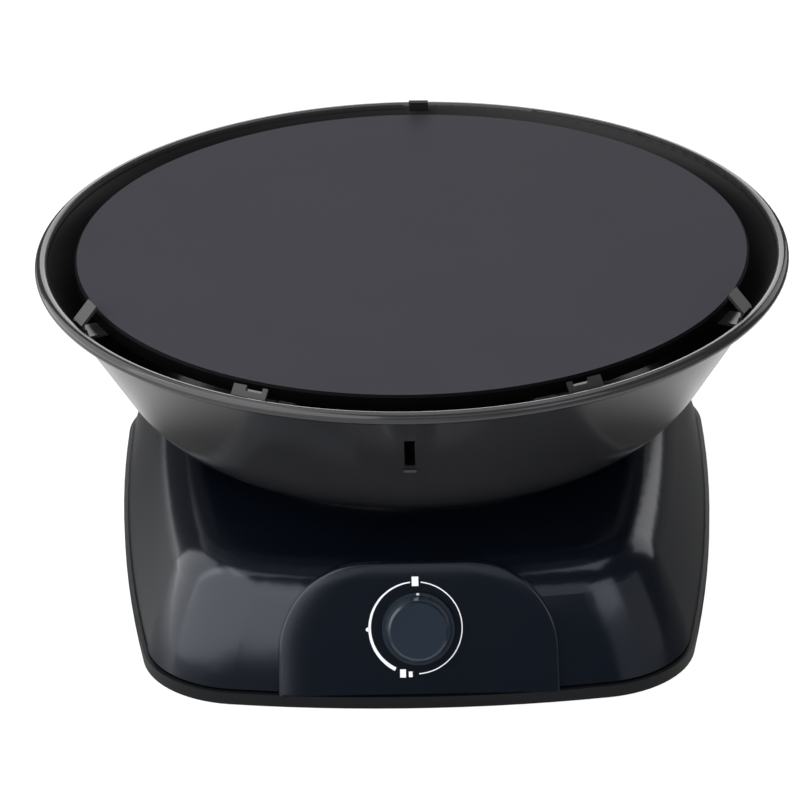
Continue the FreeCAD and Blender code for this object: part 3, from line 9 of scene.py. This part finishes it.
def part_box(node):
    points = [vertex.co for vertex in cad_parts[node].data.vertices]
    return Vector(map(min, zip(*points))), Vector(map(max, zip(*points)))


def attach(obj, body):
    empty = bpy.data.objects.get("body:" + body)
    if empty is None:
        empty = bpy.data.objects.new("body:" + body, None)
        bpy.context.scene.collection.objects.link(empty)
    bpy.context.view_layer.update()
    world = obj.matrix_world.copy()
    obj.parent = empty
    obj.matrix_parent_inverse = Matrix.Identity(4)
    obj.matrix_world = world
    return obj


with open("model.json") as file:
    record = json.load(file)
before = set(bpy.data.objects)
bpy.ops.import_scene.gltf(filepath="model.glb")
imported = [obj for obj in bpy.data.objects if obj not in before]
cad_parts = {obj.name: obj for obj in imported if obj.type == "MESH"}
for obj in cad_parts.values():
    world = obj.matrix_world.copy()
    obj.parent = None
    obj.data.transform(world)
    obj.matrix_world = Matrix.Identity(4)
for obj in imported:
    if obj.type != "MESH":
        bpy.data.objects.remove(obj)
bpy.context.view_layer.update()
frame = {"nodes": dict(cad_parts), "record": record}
nodes = frame["nodes"]
scene = bpy.context.scene

# Places taken from the frame, in metres: the bowl's axis, and the knob's seat on the leaning console
MM = 0.001
plate_low, plate_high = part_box("griddle_plate")
AXIS_Y = (plate_low[1] + plate_high[1]) / 2
knob_joint = next(j for j in frame["record"]["behaviour"]["joints"] if j["name"] == "knob_turn")
KNOB = Vector(knob_joint["pos_m"])
FACE_OUT = Vector(knob_joint["axis"])
FACE_ACROSS = Vector((1, 0, 0))
FACE_UP = FACE_OUT.cross(FACE_ACROSS)

# Camera at the photograph's viewpoint: degrees, metres from the bowl's axis and the floor, lens millimetres
CAMERA_PITCH = 26.378
CAMERA_YAW = -0.285
CAMERA_ROLL = -1.203
CAMERA_SIDE = 0.00408
CAMERA_FRONT = 2.3547
CAMERA_HEIGHT = 1.2421
LENS = 225.0
SENSOR = 36.0


def place_camera():
    pitch, yaw, roll = (math.radians(a) for a in (CAMERA_PITCH, CAMERA_YAW, CAMERA_ROLL))
    forward = Vector((math.sin(yaw) * math.cos(pitch), math.cos(yaw) * math.cos(pitch), -math.sin(pitch)))
    right = forward.cross(Vector((0, 0, 1))).normalized()
    up = right.cross(forward)
    across = right * math.cos(roll) + up * math.sin(roll)
    above = up * math.cos(roll) - right * math.sin(roll)
    data = bpy.data.cameras.new("camera")
    data.lens = LENS
    data.sensor_width = SENSOR
    data.clip_start = 0.05
    data.clip_end = 50.0
    camera = bpy.data.objects.new("camera", data)
    camera.matrix_world = Matrix((
        (across.x, above.x, -forward.x, CAMERA_SIDE),
        (across.y, above.y, -forward.y, AXIS_Y - CAMERA_FRONT),
        (across.z, above.z, -forward.z, CAMERA_HEIGHT),
        (0, 0, 0, 1)))
    scene.collection.objects.link(camera)
    scene.camera = camera


# Node helpers

def new_material(name):
    material = bpy.data.materials.new(name)
    material.use_nodes = True
    tree = material.node_tree
    return material, tree, tree.nodes["Principled BSDF"]


def add_node(tree, kind, **values):
    """A new node, with each value given to the input of that name, or else to the node's own setting."""
    made = tree.nodes.new(kind)
    for key, value in values.items():
        if key in made.inputs:
            made.inputs[key].default_value = value
        else:
            setattr(made, key, value)
    return made


def noise(tree, scale, detail):
    """Noise in object space, where one unit is a metre."""
    coordinates = add_node(tree, "ShaderNodeTexCoord")
    texture = add_node(tree, "ShaderNodeTexNoise", Scale=scale, Detail=detail)
    tree.links.new(coordinates.outputs["Object"], texture.inputs["Vector"])
    return texture.outputs["Fac"]


def blend_colour(tree, factor, low, high, start=0.3, end=0.7):
    """A colour that goes from low to high while factor goes from start to end."""
    made = add_node(tree, "ShaderNodeValToRGB")
    for element, position, colour in zip(made.color_ramp.elements, (start, end), (low, high)):
        element.position = position
        element.color = colour + (1,)
    tree.links.new(factor, made.inputs["Fac"])
    return made.outputs["Color"]


def blend_value(tree, factor, low, high):
    """A number that goes from low to high, either of which may be another node's output."""
    made = add_node(tree, "ShaderNodeMix", data_type="FLOAT")
    tree.links.new(factor, made.inputs["Factor"])
    for socket, value in ((made.inputs["A"], low), (made.inputs["B"], high)):
        if isinstance(value, float):
            socket.default_value = value
        else:
            tree.links.new(value, socket)
    return made.outputs["Result"]


def eased(tree, value, start, end, low, high):
    """A number that goes smoothly from low to high while value goes from start to end."""
    made = add_node(tree, "ShaderNodeMapRange", interpolation_type="SMOOTHSTEP")
    for name, number in (("From Min", start), ("From Max", end), ("To Min", low), ("To Max", high)):
        made.inputs[name].default_value = number
    tree.links.new(value, made.inputs["Value"])
    return made.outputs["Result"]


# Finishes of the record's material slots: noise scales per metre, depth in metres
PATCH_SCALE = 14.0
PATCH_DETAIL = 4.0
GRAIN_DETAIL = 2.0


def finish_material(name, low, high, roughness, grain, bump, depth=0.00005, metallic=0.0,
                    specular=0.5, tint=(1, 1, 1)):
    """Two close colours in soft patches, roughness that varies with them, and a fine surface grain."""
    material, tree, shader = new_material(name)
    patches = noise(tree, PATCH_SCALE, PATCH_DETAIL)
    tree.links.new(blend_colour(tree, patches, low, high), shader.inputs["Base Color"])
    tree.links.new(blend_value(tree, patches, *roughness), shader.inputs["Roughness"])
    relief = add_node(tree, "ShaderNodeBump", Strength=bump, Distance=depth)
    tree.links.new(noise(tree, grain, GRAIN_DETAIL), relief.inputs["Height"])
    tree.links.new(relief.outputs["Normal"], shader.inputs["Normal"])
    shader.inputs["Metallic"].default_value = metallic
    shader.inputs["Specular IOR Level"].default_value = specular
    shader.inputs["Specular Tint"].default_value = tint + (1,)
    return material


materials = {
    "plate": finish_material(
        "coated_plate", (0.0300, 0.0290, 0.0365), (0.0335, 0.0325, 0.0400), (0.62, 0.70),
        grain=1500.0, bump=0.25, depth=0.00008, specular=0.04),
    "bowl": finish_material(
        "enamel", (0.0155, 0.0157, 0.0172), (0.0185, 0.0187, 0.0202), (0.13, 0.18),
        grain=320.0, bump=0.03),
    "cover": finish_material(
        "gloss_cover", (0.0011, 0.0022, 0.0048), (0.0015, 0.0028, 0.0056), (0.16, 0.20),
        grain=260.0, bump=0.02, depth=0.00004, tint=(0.84, 0.88, 1.0)),
    "tray": finish_material(
        "tray_plastic", (0.003, 0.0034, 0.0042), (0.004, 0.0045, 0.0055), (0.42, 0.52),
        grain=2600.0, bump=0.3, depth=0.00004, specular=0.22),
    "knob": finish_material(
        "knob_plastic", (0.0050, 0.0105, 0.0185), (0.0065, 0.0125, 0.0215), (0.20, 0.26),
        grain=2200.0, bump=0.1, depth=0.00003),
    "bracket": finish_material(
        "bracket_enamel", (0.018, 0.018, 0.019), (0.022, 0.022, 0.023), (0.16, 0.22),
        grain=420.0, bump=0.05, specular=0.3),
    "steel": finish_material(
        "plated_steel", (0.42, 0.42, 0.43), (0.52, 0.52, 0.53), (0.28, 0.40),
        grain=700.0, bump=0.1, metallic=1.0),
    "shield": finish_material(
        "pressed_sheet", (0.40, 0.40, 0.41), (0.50, 0.50, 0.51), (0.30, 0.42),
        grain=600.0, bump=0.1, metallic=1.0),
    "brass": finish_material(
        "machined_brass", (0.52, 0.36, 0.13), (0.62, 0.45, 0.18), (0.24, 0.36),
        grain=900.0, bump=0.08, metallic=1.0),
    "burner": finish_material(
        "cast_alloy", (0.36, 0.36, 0.37), (0.46, 0.46, 0.47), (0.45, 0.60),
        grain=1200.0, bump=0.35, depth=0.0001, metallic=1.0),
    "cap": finish_material(
        "cap_enamel", (0.012, 0.012, 0.013), (0.020, 0.020, 0.021), (0.40, 0.55),
        grain=1100.0, bump=0.25, depth=0.00008),
    "pipe": finish_material(
        "drawn_tube", (0.55, 0.55, 0.56), (0.64, 0.64, 0.65), (0.26, 0.36),
        grain=500.0, bump=0.08, metallic=1.0),
    "ceramic": finish_material(
        "glazed_ceramic", (0.70, 0.68, 0.63), (0.78, 0.76, 0.71), (0.15, 0.25),
        grain=500.0, bump=0.05),
    "case": finish_material(
        "plain_case", (0.012, 0.012, 0.013), (0.018, 0.018, 0.019), (0.40, 0.50),
        grain=1800.0, bump=0.2),
    "lead": finish_material(
        "lead_sheath", (0.25, 0.022, 0.015), (0.33, 0.032, 0.022), (0.40, 0.50),
        grain=1500.0, bump=0.15),
    "rubber": finish_material(
        "foot_rubber", (0.013, 0.013, 0.013), (0.020, 0.020, 0.020), (0.70, 0.85),
        grain=2400.0, bump=0.4, depth=0.00006),
}
# Near-black painted shade for the griddle plate's side and underside; the plate has the same coat as on its
# top
plate_side_painted_shade = finish_material(
    "plate_side_painted_shade", (0.0008, 0.0008, 0.0010), (0.0013, 0.0013, 0.0015), (0.55, 0.70),
    grain=1200.0, bump=0.3, depth=0.00008, specular=0.05)
ink = finish_material(
    "printed_ink", (0.58, 0.59, 0.60), (0.63, 0.64, 0.65), (0.35, 0.45),
    grain=1800.0, bump=0.08)

# Edges that turn by more degrees than this stay creases; the facets of the bowl's rolled rim turn by more
CREASE = 32.0
BOWL_CREASE = 62.0

# Faces of the griddle plate that point up more than this are its top; all others get a near-black painted
# shade, though the coat is the same all over
TOP_FACE_UP = 0.97

# The bowl's inner wall: how far it faces inwards where the change starts and ends, and its matt finish and
# painted shade
INWARD_START = -0.45
INWARD_END = -0.62
INSIDE_ROUGHNESS = 0.45
OUTSIDE_SPECULAR = 0.5
INSIDE_SPECULAR = 0.2
INSIDE_PAINTED_SHADE = (0.32, 0.32, 0.34, 1)


def dress_nodes():
    for entry in frame["record"]["subparts"]:
        mesh = nodes[entry["node"]].data
        mesh.materials.clear()
        mesh.materials.append(materials[entry["material_slot"]])
        for polygon in mesh.polygons:
            polygon.use_smooth = True
        crease = BOWL_CREASE if entry["node"] == "bowl" else CREASE
        mesh.set_sharp_from_angle(angle=math.radians(crease))
    plate = nodes["griddle_plate"].data
    plate.materials.append(plate_side_painted_shade)
    # Faces other than the top get the near-black painted shade material
    for polygon in plate.polygons:
        polygon.material_index = 0 if polygon.normal.z > TOP_FACE_UP else 1


def matt_inside_painted_shade(material):
    """The bowl's inner wall is matt, with weaker specular, and its colour is darkened as painted shade."""
    tree = material.node_tree
    shader = tree.nodes["Principled BSDF"]
    surface = add_node(tree, "ShaderNodeTexCoord")
    flat = add_node(tree, "ShaderNodeVectorMath", operation="MULTIPLY_ADD")
    flat.inputs[1].default_value = (1, 1, 0)
    flat.inputs[2].default_value = (0, -AXIS_Y, 0)
    tree.links.new(surface.outputs["Object"], flat.inputs[0])
    away = add_node(tree, "ShaderNodeVectorMath", operation="NORMALIZE")
    tree.links.new(flat.outputs["Vector"], away.inputs[0])
    outward = add_node(tree, "ShaderNodeVectorMath", operation="DOT_PRODUCT")
    tree.links.new(away.outputs["Vector"], outward.inputs[0])
    tree.links.new(surface.outputs["Normal"], outward.inputs[1])
    inward = eased(tree, outward.outputs["Value"], INWARD_START, INWARD_END, 0.0, 1.0)
    gloss = shader.inputs["Roughness"].links[0].from_socket
    tree.links.new(blend_value(tree, inward, gloss, INSIDE_ROUGHNESS), shader.inputs["Roughness"])
    specular = blend_value(tree, inward, OUTSIDE_SPECULAR, INSIDE_SPECULAR)
    tree.links.new(specular, shader.inputs["Specular IOR Level"])
    # Painted shade: the inner wall's base colour is multiplied darker
    painted_shade = add_node(tree, "ShaderNodeMix", data_type="RGBA", blend_type="MULTIPLY")
    painted_shade.inputs["B"].default_value = INSIDE_PAINTED_SHADE
    tree.links.new(inward, painted_shade.inputs["Factor"])
    tree.links.new(shader.inputs["Base Color"].links[0].from_socket, painted_shade.inputs["A"])
    tree.links.new(painted_shade.outputs["Result"], shader.inputs["Base Color"])


# The console's face: a shallow dome that thins out towards its top and sides, in millimetres.
# Heights are above the console's foot; the rounds say how wide the thinning margins are.
KNOB_RISE = 33.1
DOME_HEIGHT = 0.6
DOME_TOP_ROUND = 9.0
DOME_SIDE_ROUND = 15.0
DOME_FOOT = 0.6
DOME_TOP = 64.2
DOME_HALF = 68.2
DOME_CORNER = 43.3
DOME_HOLE = 9.0
DOME_SKIN = 0.03
DOME_UNDERSIDE = 0.01


def dome_half_width(rise):
    """Half the face's width at a height above the console's foot."""
    turn = max(0.0, rise - (DOME_TOP - DOME_CORNER))
    return DOME_HALF - DOME_CORNER + math.sqrt(max(0.0, DOME_CORNER ** 2 - turn ** 2))


def dome_height(across, up):
    """The dome's height over the flat face, at millimetres from the knob's axis."""
    rise = up + KNOB_RISE
    near_top = max(0.0, 1 - (DOME_TOP - rise) / DOME_TOP_ROUND)
    near_side = max(0.0, 1 - (dome_half_width(rise) - abs(across)) / DOME_SIDE_ROUND)
    return DOME_HEIGHT * max(0.0, 1 - near_top ** 2) * max(0.0, 1 - near_side ** 2)


def flat_point(across, up, lift):
    """A place over the console's flat face, from millimetres across, up and out from the knob's seat."""
    return KNOB + (FACE_ACROSS * across + FACE_UP * up + FACE_OUT * lift) * MM


def domed_point(across, up, lift):
    """The same, but raised from the domed face."""
    return flat_point(across, up, dome_height(across, up) + lift)


def dome_reach(across, up):
    """How far the face's outline is from the knob's axis, along a direction on the face."""
    near, far = 0.0, 2 * DOME_HALF
    for _ in range(40):
        middle = (near + far) / 2
        rise = KNOB_RISE + up * middle
        inside = DOME_FOOT <= rise <= DOME_TOP and abs(across) * middle <= dome_half_width(rise)
        near, far = (middle, far) if inside else (near, middle)
    return near


def add_piece(name, mesh, material, body):
    """Turns a finished bmesh into a piece that rides on a body."""
    bmesh.ops.recalc_face_normals(mesh, faces=mesh.faces)
    data = bpy.data.meshes.new(name)
    mesh.to_mesh(data)
    mesh.free()
    data.materials.append(material)
    piece = bpy.data.objects.new(name, data)
    scene.collection.objects.link(piece)
    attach(piece, body)
    return piece


def join_loops(mesh, first, second):
    """Quads all round between two closed loops of as many vertices."""
    for index in range(len(first)):
        after = (index + 1) % len(first)
        mesh.faces.new((first[index], first[after], second[after], second[index]))


def console_dome(turns=176, rings=36):
    """Rings from the stem's hole out to the outline, closer together towards the outline."""
    corner = math.atan2(DOME_HALF, DOME_FOOT - KNOB_RISE)
    angles = sorted([math.tau * turn / turns - math.pi for turn in range(turns)] + [corner, -corner])
    spokes = [(math.sin(a), math.cos(a)) for a in angles]
    reaches = [dome_reach(*spoke) for spoke in spokes]
    mesh = bmesh.new()
    sheets = []
    for point_at, lift in ((domed_point, DOME_SKIN), (flat_point, DOME_UNDERSIDE)):
        sheet = []
        for ring in range(rings + 1):
            share = math.sin(math.pi / 2 * ring / rings)
            line = []
            for (across, up), reach in zip(spokes, reaches):
                radius = DOME_HOLE + (reach - DOME_HOLE) * share
                line.append(mesh.verts.new(point_at(across * radius, up * radius, lift)))
            sheet.append(line)
        for line, after in zip(sheet, sheet[1:]):
            join_loops(mesh, line, after)
        sheets.append(sheet)
    skin, underside = sheets
    for ring in (0, rings):
        join_loops(mesh, skin[ring], underside[ring])
    piece = add_piece("console_dome", mesh, materials["cover"], "base")
    for polygon in piece.data.polygons:
        polygon.use_smooth = True


# Printed scale round the knob: millimetres, and degrees anticlockwise from the top of the dial
DIAL_SIDE = -1.2
DIAL_RADIUS = 22.9
PRINT_TOP = 0.14
PRINT_FOOT = 0.05


def dial_point(radius, turn):
    angle = math.radians(turn)
    return DIAL_SIDE - radius * math.sin(angle), radius * math.cos(angle)


def arc_outline(start, end, start_width, end_width, steps=72):
    """The outline of an arc whose width may grow along it."""
    outer, inner = [], []
    for step in range(steps + 1):
        share = step / steps
        turn = start + (end - start) * share
        half = (start_width + (end_width - start_width) * share) / 2
        outer.append(dial_point(DIAL_RADIUS + half, turn))
        inner.append(dial_point(DIAL_RADIUS - half, turn))
    return outer + inner[::-1]


def block_outline(across, up, width, height):
    """A small upright rectangle, placed from the dial's middle."""
    return [(DIAL_SIDE + across + a * width / 2, up + b * height / 2)
            for a, b in ((-1, -1), (1, -1), (1, 1), (-1, 1))]


def dot_outline(radius, turn, size, steps=20):
    x, y = dial_point(radius, turn)
    angles = [math.tau * step / steps for step in range(steps)]
    return [(x + size / 2 * math.cos(a), y + size / 2 * math.sin(a)) for a in angles]


def dial_scale():
    """A thin arc that grows to the full mark, a plain arc, the off mark, two blocks and a dot."""
    loops = (
        arc_outline(6, 153, 0.6, 1.8),
        arc_outline(-7, -177, 0.55, 0.55),
        block_outline(0.0, 23.2, 3.3, 4.7),
        block_outline(-6.8, -22.6, 2.9, 4.1),
        block_outline(-3.0, -23.1, 1.9, 2.8),
        dot_outline(23.8, 91, 2.1),
    )
    mesh = bmesh.new()
    for loop in loops:
        upper = [mesh.verts.new(domed_point(x, y, PRINT_TOP)) for x, y in loop]
        lower = [mesh.verts.new(domed_point(x, y, PRINT_FOOT)) for x, y in loop]
        mesh.faces.new(upper)
        mesh.faces.new(lower[::-1])
        join_loops(mesh, lower, upper)
    add_piece("dial_scale", mesh, ink, "base")


# Pale index tick in the notch of the knob's skirt

def knob_tick(low=5.25, high=5.65, inner=16.75, outer=17.85, half=0.75, chamfer=0.2):
    """A small inlay with chamfered upper edges, in millimetres from the knob's seat and axis."""
    mesh = bmesh.new()
    layers = []
    for level, inset in ((low, 0.0), (high - chamfer, 0.0), (high, chamfer)):
        corners = ((-half + inset, inner + inset), (half - inset, inner + inset),
                   (half - inset, outer - inset), (-half + inset, outer - inset))
        layers.append([mesh.verts.new(flat_point(x, y, level)) for x, y in corners])
    mesh.faces.new(layers[0])
    mesh.faces.new(layers[-1])
    for under, over in zip(layers, layers[1:]):
        join_loops(mesh, under, over)
    add_piece("knob_tick", mesh, ink, "knob")


# Stage: pale floor, white surround, soft light. Brightness 1 is white, lengths are metres.
FLOOR_REACH = 12.0
FLOOR_COLOUR = (0.45, 0.45, 0.46, 1)
FLOOR_SEEN = 0.93
SHADOW_SEEN = 0.16
SHADOW_MIRRORED = 0.04
SURROUND = 1.0
ROOM = 0.08

# The floor in a mirror surface, seen steeply: paper, shaded within a radius under the bowl
SHADE_RADIUS = 0.172
SHADE_FADE = 0.04
PAPER_SHADED = 0.05
PAPER_LIT = 0.88

# The floor in a mirror surface, seen at a slant: the room, lighter on the left of a slanting border
ROOM_LIT = 1.1
BORDER_SLANT = 0.5
BORDER_LIT = -0.45
BORDER_DIM = -0.12
SLANT_START = 0.45
SLANT_END = 0.65

# Watts for each square metre of a lamp's face and each unit of its brightness
LAMP_POWER = 4.0


def softbox(name, place, target, size, radiance, roll=0.0, glossy=True):
    """A rectangular light whose face has the given brightness; roll is in degrees."""
    data = bpy.data.lights.new(name, "AREA")
    data.shape = "RECTANGLE"
    data.size, data.size_y = size
    data.energy = LAMP_POWER * size[0] * size[1] * radiance
    light = bpy.data.objects.new(name, data)
    light.location = place
    facing = (Vector(target) - Vector(place)).to_track_quat("-Z", "Y")
    light.rotation_euler = (facing @ Quaternion((0, 0, 1), math.radians(roll))).to_euler()
    light.visible_camera = False
    light.visible_glossy = glossy
    scene.collection.objects.link(light)


def mirror_or_camera(tree, path):
    """One for rays from the camera, a mirror surface or glass."""
    either = add_node(tree, "ShaderNodeMath", operation="MAXIMUM")
    tree.links.new(path.outputs["Is Glossy Ray"], either.inputs[0])
    tree.links.new(path.outputs["Is Transmission Ray"], either.inputs[1])
    any_of = add_node(tree, "ShaderNodeMath", operation="MAXIMUM")
    tree.links.new(either.outputs["Value"], any_of.inputs[0])
    tree.links.new(path.outputs["Is Camera Ray"], any_of.inputs[1])
    return any_of.outputs["Value"]


def mirrored_floor(tree):
    """The floor's brightness in a mirror surface."""
    place = add_node(tree, "ShaderNodeNewGeometry").outputs["Position"]
    distance = add_node(tree, "ShaderNodeVectorMath", operation="LENGTH")
    tree.links.new(place, distance.inputs[0])
    paper = eased(tree, distance.outputs["Value"], SHADE_RADIUS, SHADE_RADIUS + SHADE_FADE,
                  PAPER_SHADED, PAPER_LIT)
    sides = add_node(tree, "ShaderNodeSeparateXYZ")
    tree.links.new(place, sides.inputs["Vector"])
    aside = add_node(tree, "ShaderNodeMath", operation="MULTIPLY_ADD")
    aside.inputs[1].default_value = BORDER_SLANT
    tree.links.new(sides.outputs["Y"], aside.inputs[0])
    tree.links.new(sides.outputs["X"], aside.inputs[2])
    room = eased(tree, aside.outputs["Value"], BORDER_LIT, BORDER_DIM, ROOM_LIT, ROOM)
    facing = add_node(tree, "ShaderNodeLayerWeight", Blend=0.5).outputs["Facing"]
    slant = eased(tree, facing, SLANT_START, SLANT_END, 0.0, 1.0)
    return blend_value(tree, slant, paper, room)


def add_floor():
    """Pale paper that keeps the object's shadow for the camera."""
    mesh = bpy.data.meshes.new("floor")
    corners = [(x * FLOOR_REACH, y * FLOOR_REACH, 0) for x, y in ((-1, -1), (1, -1), (1, 1), (-1, 1))]
    mesh.from_pydata(corners, [], [(0, 1, 2, 3)])
    floor = bpy.data.objects.new("floor", mesh)
    scene.collection.objects.link(floor)
    material, tree, shader = new_material("floor_paper")
    tree.nodes.remove(shader)
    path = add_node(tree, "ShaderNodeLightPath")
    from_camera = path.outputs["Is Camera Ray"]
    plain = add_node(tree, "ShaderNodeBsdfDiffuse", Color=FLOOR_COLOUR)
    shaded = add_node(tree, "ShaderNodeBsdfDiffuse")
    tree.links.new(blend_value(tree, from_camera, SHADOW_MIRRORED, SHADOW_SEEN), shaded.inputs["Color"])
    glow = add_node(tree, "ShaderNodeEmission")
    strength = blend_value(tree, from_camera, mirrored_floor(tree), FLOOR_SEEN)
    tree.links.new(strength, glow.inputs["Strength"])
    seen = add_node(tree, "ShaderNodeAddShader")
    tree.links.new(shaded.outputs["BSDF"], seen.inputs[0])
    tree.links.new(glow.outputs["Emission"], seen.inputs[1])
    mix = add_node(tree, "ShaderNodeMixShader")
    tree.links.new(mirror_or_camera(tree, path), mix.inputs["Fac"])
    tree.links.new(plain.outputs["BSDF"], mix.inputs[1])
    tree.links.new(seen.outputs["Shader"], mix.inputs[2])
    tree.links.new(mix.outputs["Shader"], tree.nodes["Material Output"].inputs["Surface"])
    mesh.materials.append(material)


def add_world():
    """White for the camera, a dim room for all else."""
    world = bpy.data.worlds.new("studio")
    scene.world = world
    world.use_nodes = True
    tree = world.node_tree
    path = add_node(tree, "ShaderNodeLightPath")
    background = tree.nodes["Background"]
    background.inputs["Color"].default_value = (1, 1, 1, 1)
    strength = blend_value(tree, path.outputs["Is Camera Ray"], ROOM, SURROUND)
    tree.links.new(strength, background.inputs["Strength"])


def add_lights():
    """Each panel's place, the point it faces, its size and its brightness."""
    softbox("left_panel", (-0.651, -0.947, 1.10), (0.3, -0.70, 1.02), (2.06, 1.75), 2.05, roll=12.0)
    softbox("rear_left_panel", (-0.865, 0.24, 0.60), (0.2, 0.06, 0.6), (0.80, 1.19), 1.5)
    softbox("rear_right_panel", (0.80, 0.68, 0.46), (0.0, 0.0, 0.16), (0.60, 0.60), 0.95)
    softbox("right_panel", (1.07, -1.19, 0.90), (0.0, 0.0, 0.1), (0.85, 0.62), 1.35)
    softbox("right_wall", (1.30, -0.75, 0.36), (0.0, 0.0, 0.2), (1.6, 0.70), 0.30)
    softbox("rear_panel", (0.0, 1.9, 0.75), (0.0, 0.0, 0.16), (1.3, 1.1), 2.0)
    softbox("top_panel", (0.0, 0.35, 1.6), (0.0, 0.3, 0.0), (1.8, 1.6), 1.2)
    softbox("front_panel", (0.3, -2.7, 2.0), (0.0, 0.0, 0.1), (2.0, 1.3), 0.6)
    softbox("front_fill", (0.2, -2.9, 0.9), (0.0, 0.0, 0.1), (2.4, 1.8), 4.0, glossy=False)


dress_nodes()
matt_inside_painted_shade(materials["bowl"])
console_dome()
dial_scale()
knob_tick()
place_camera()
add_floor()
add_world()
add_lights()
scene.view_settings.view_transform = "Standard"
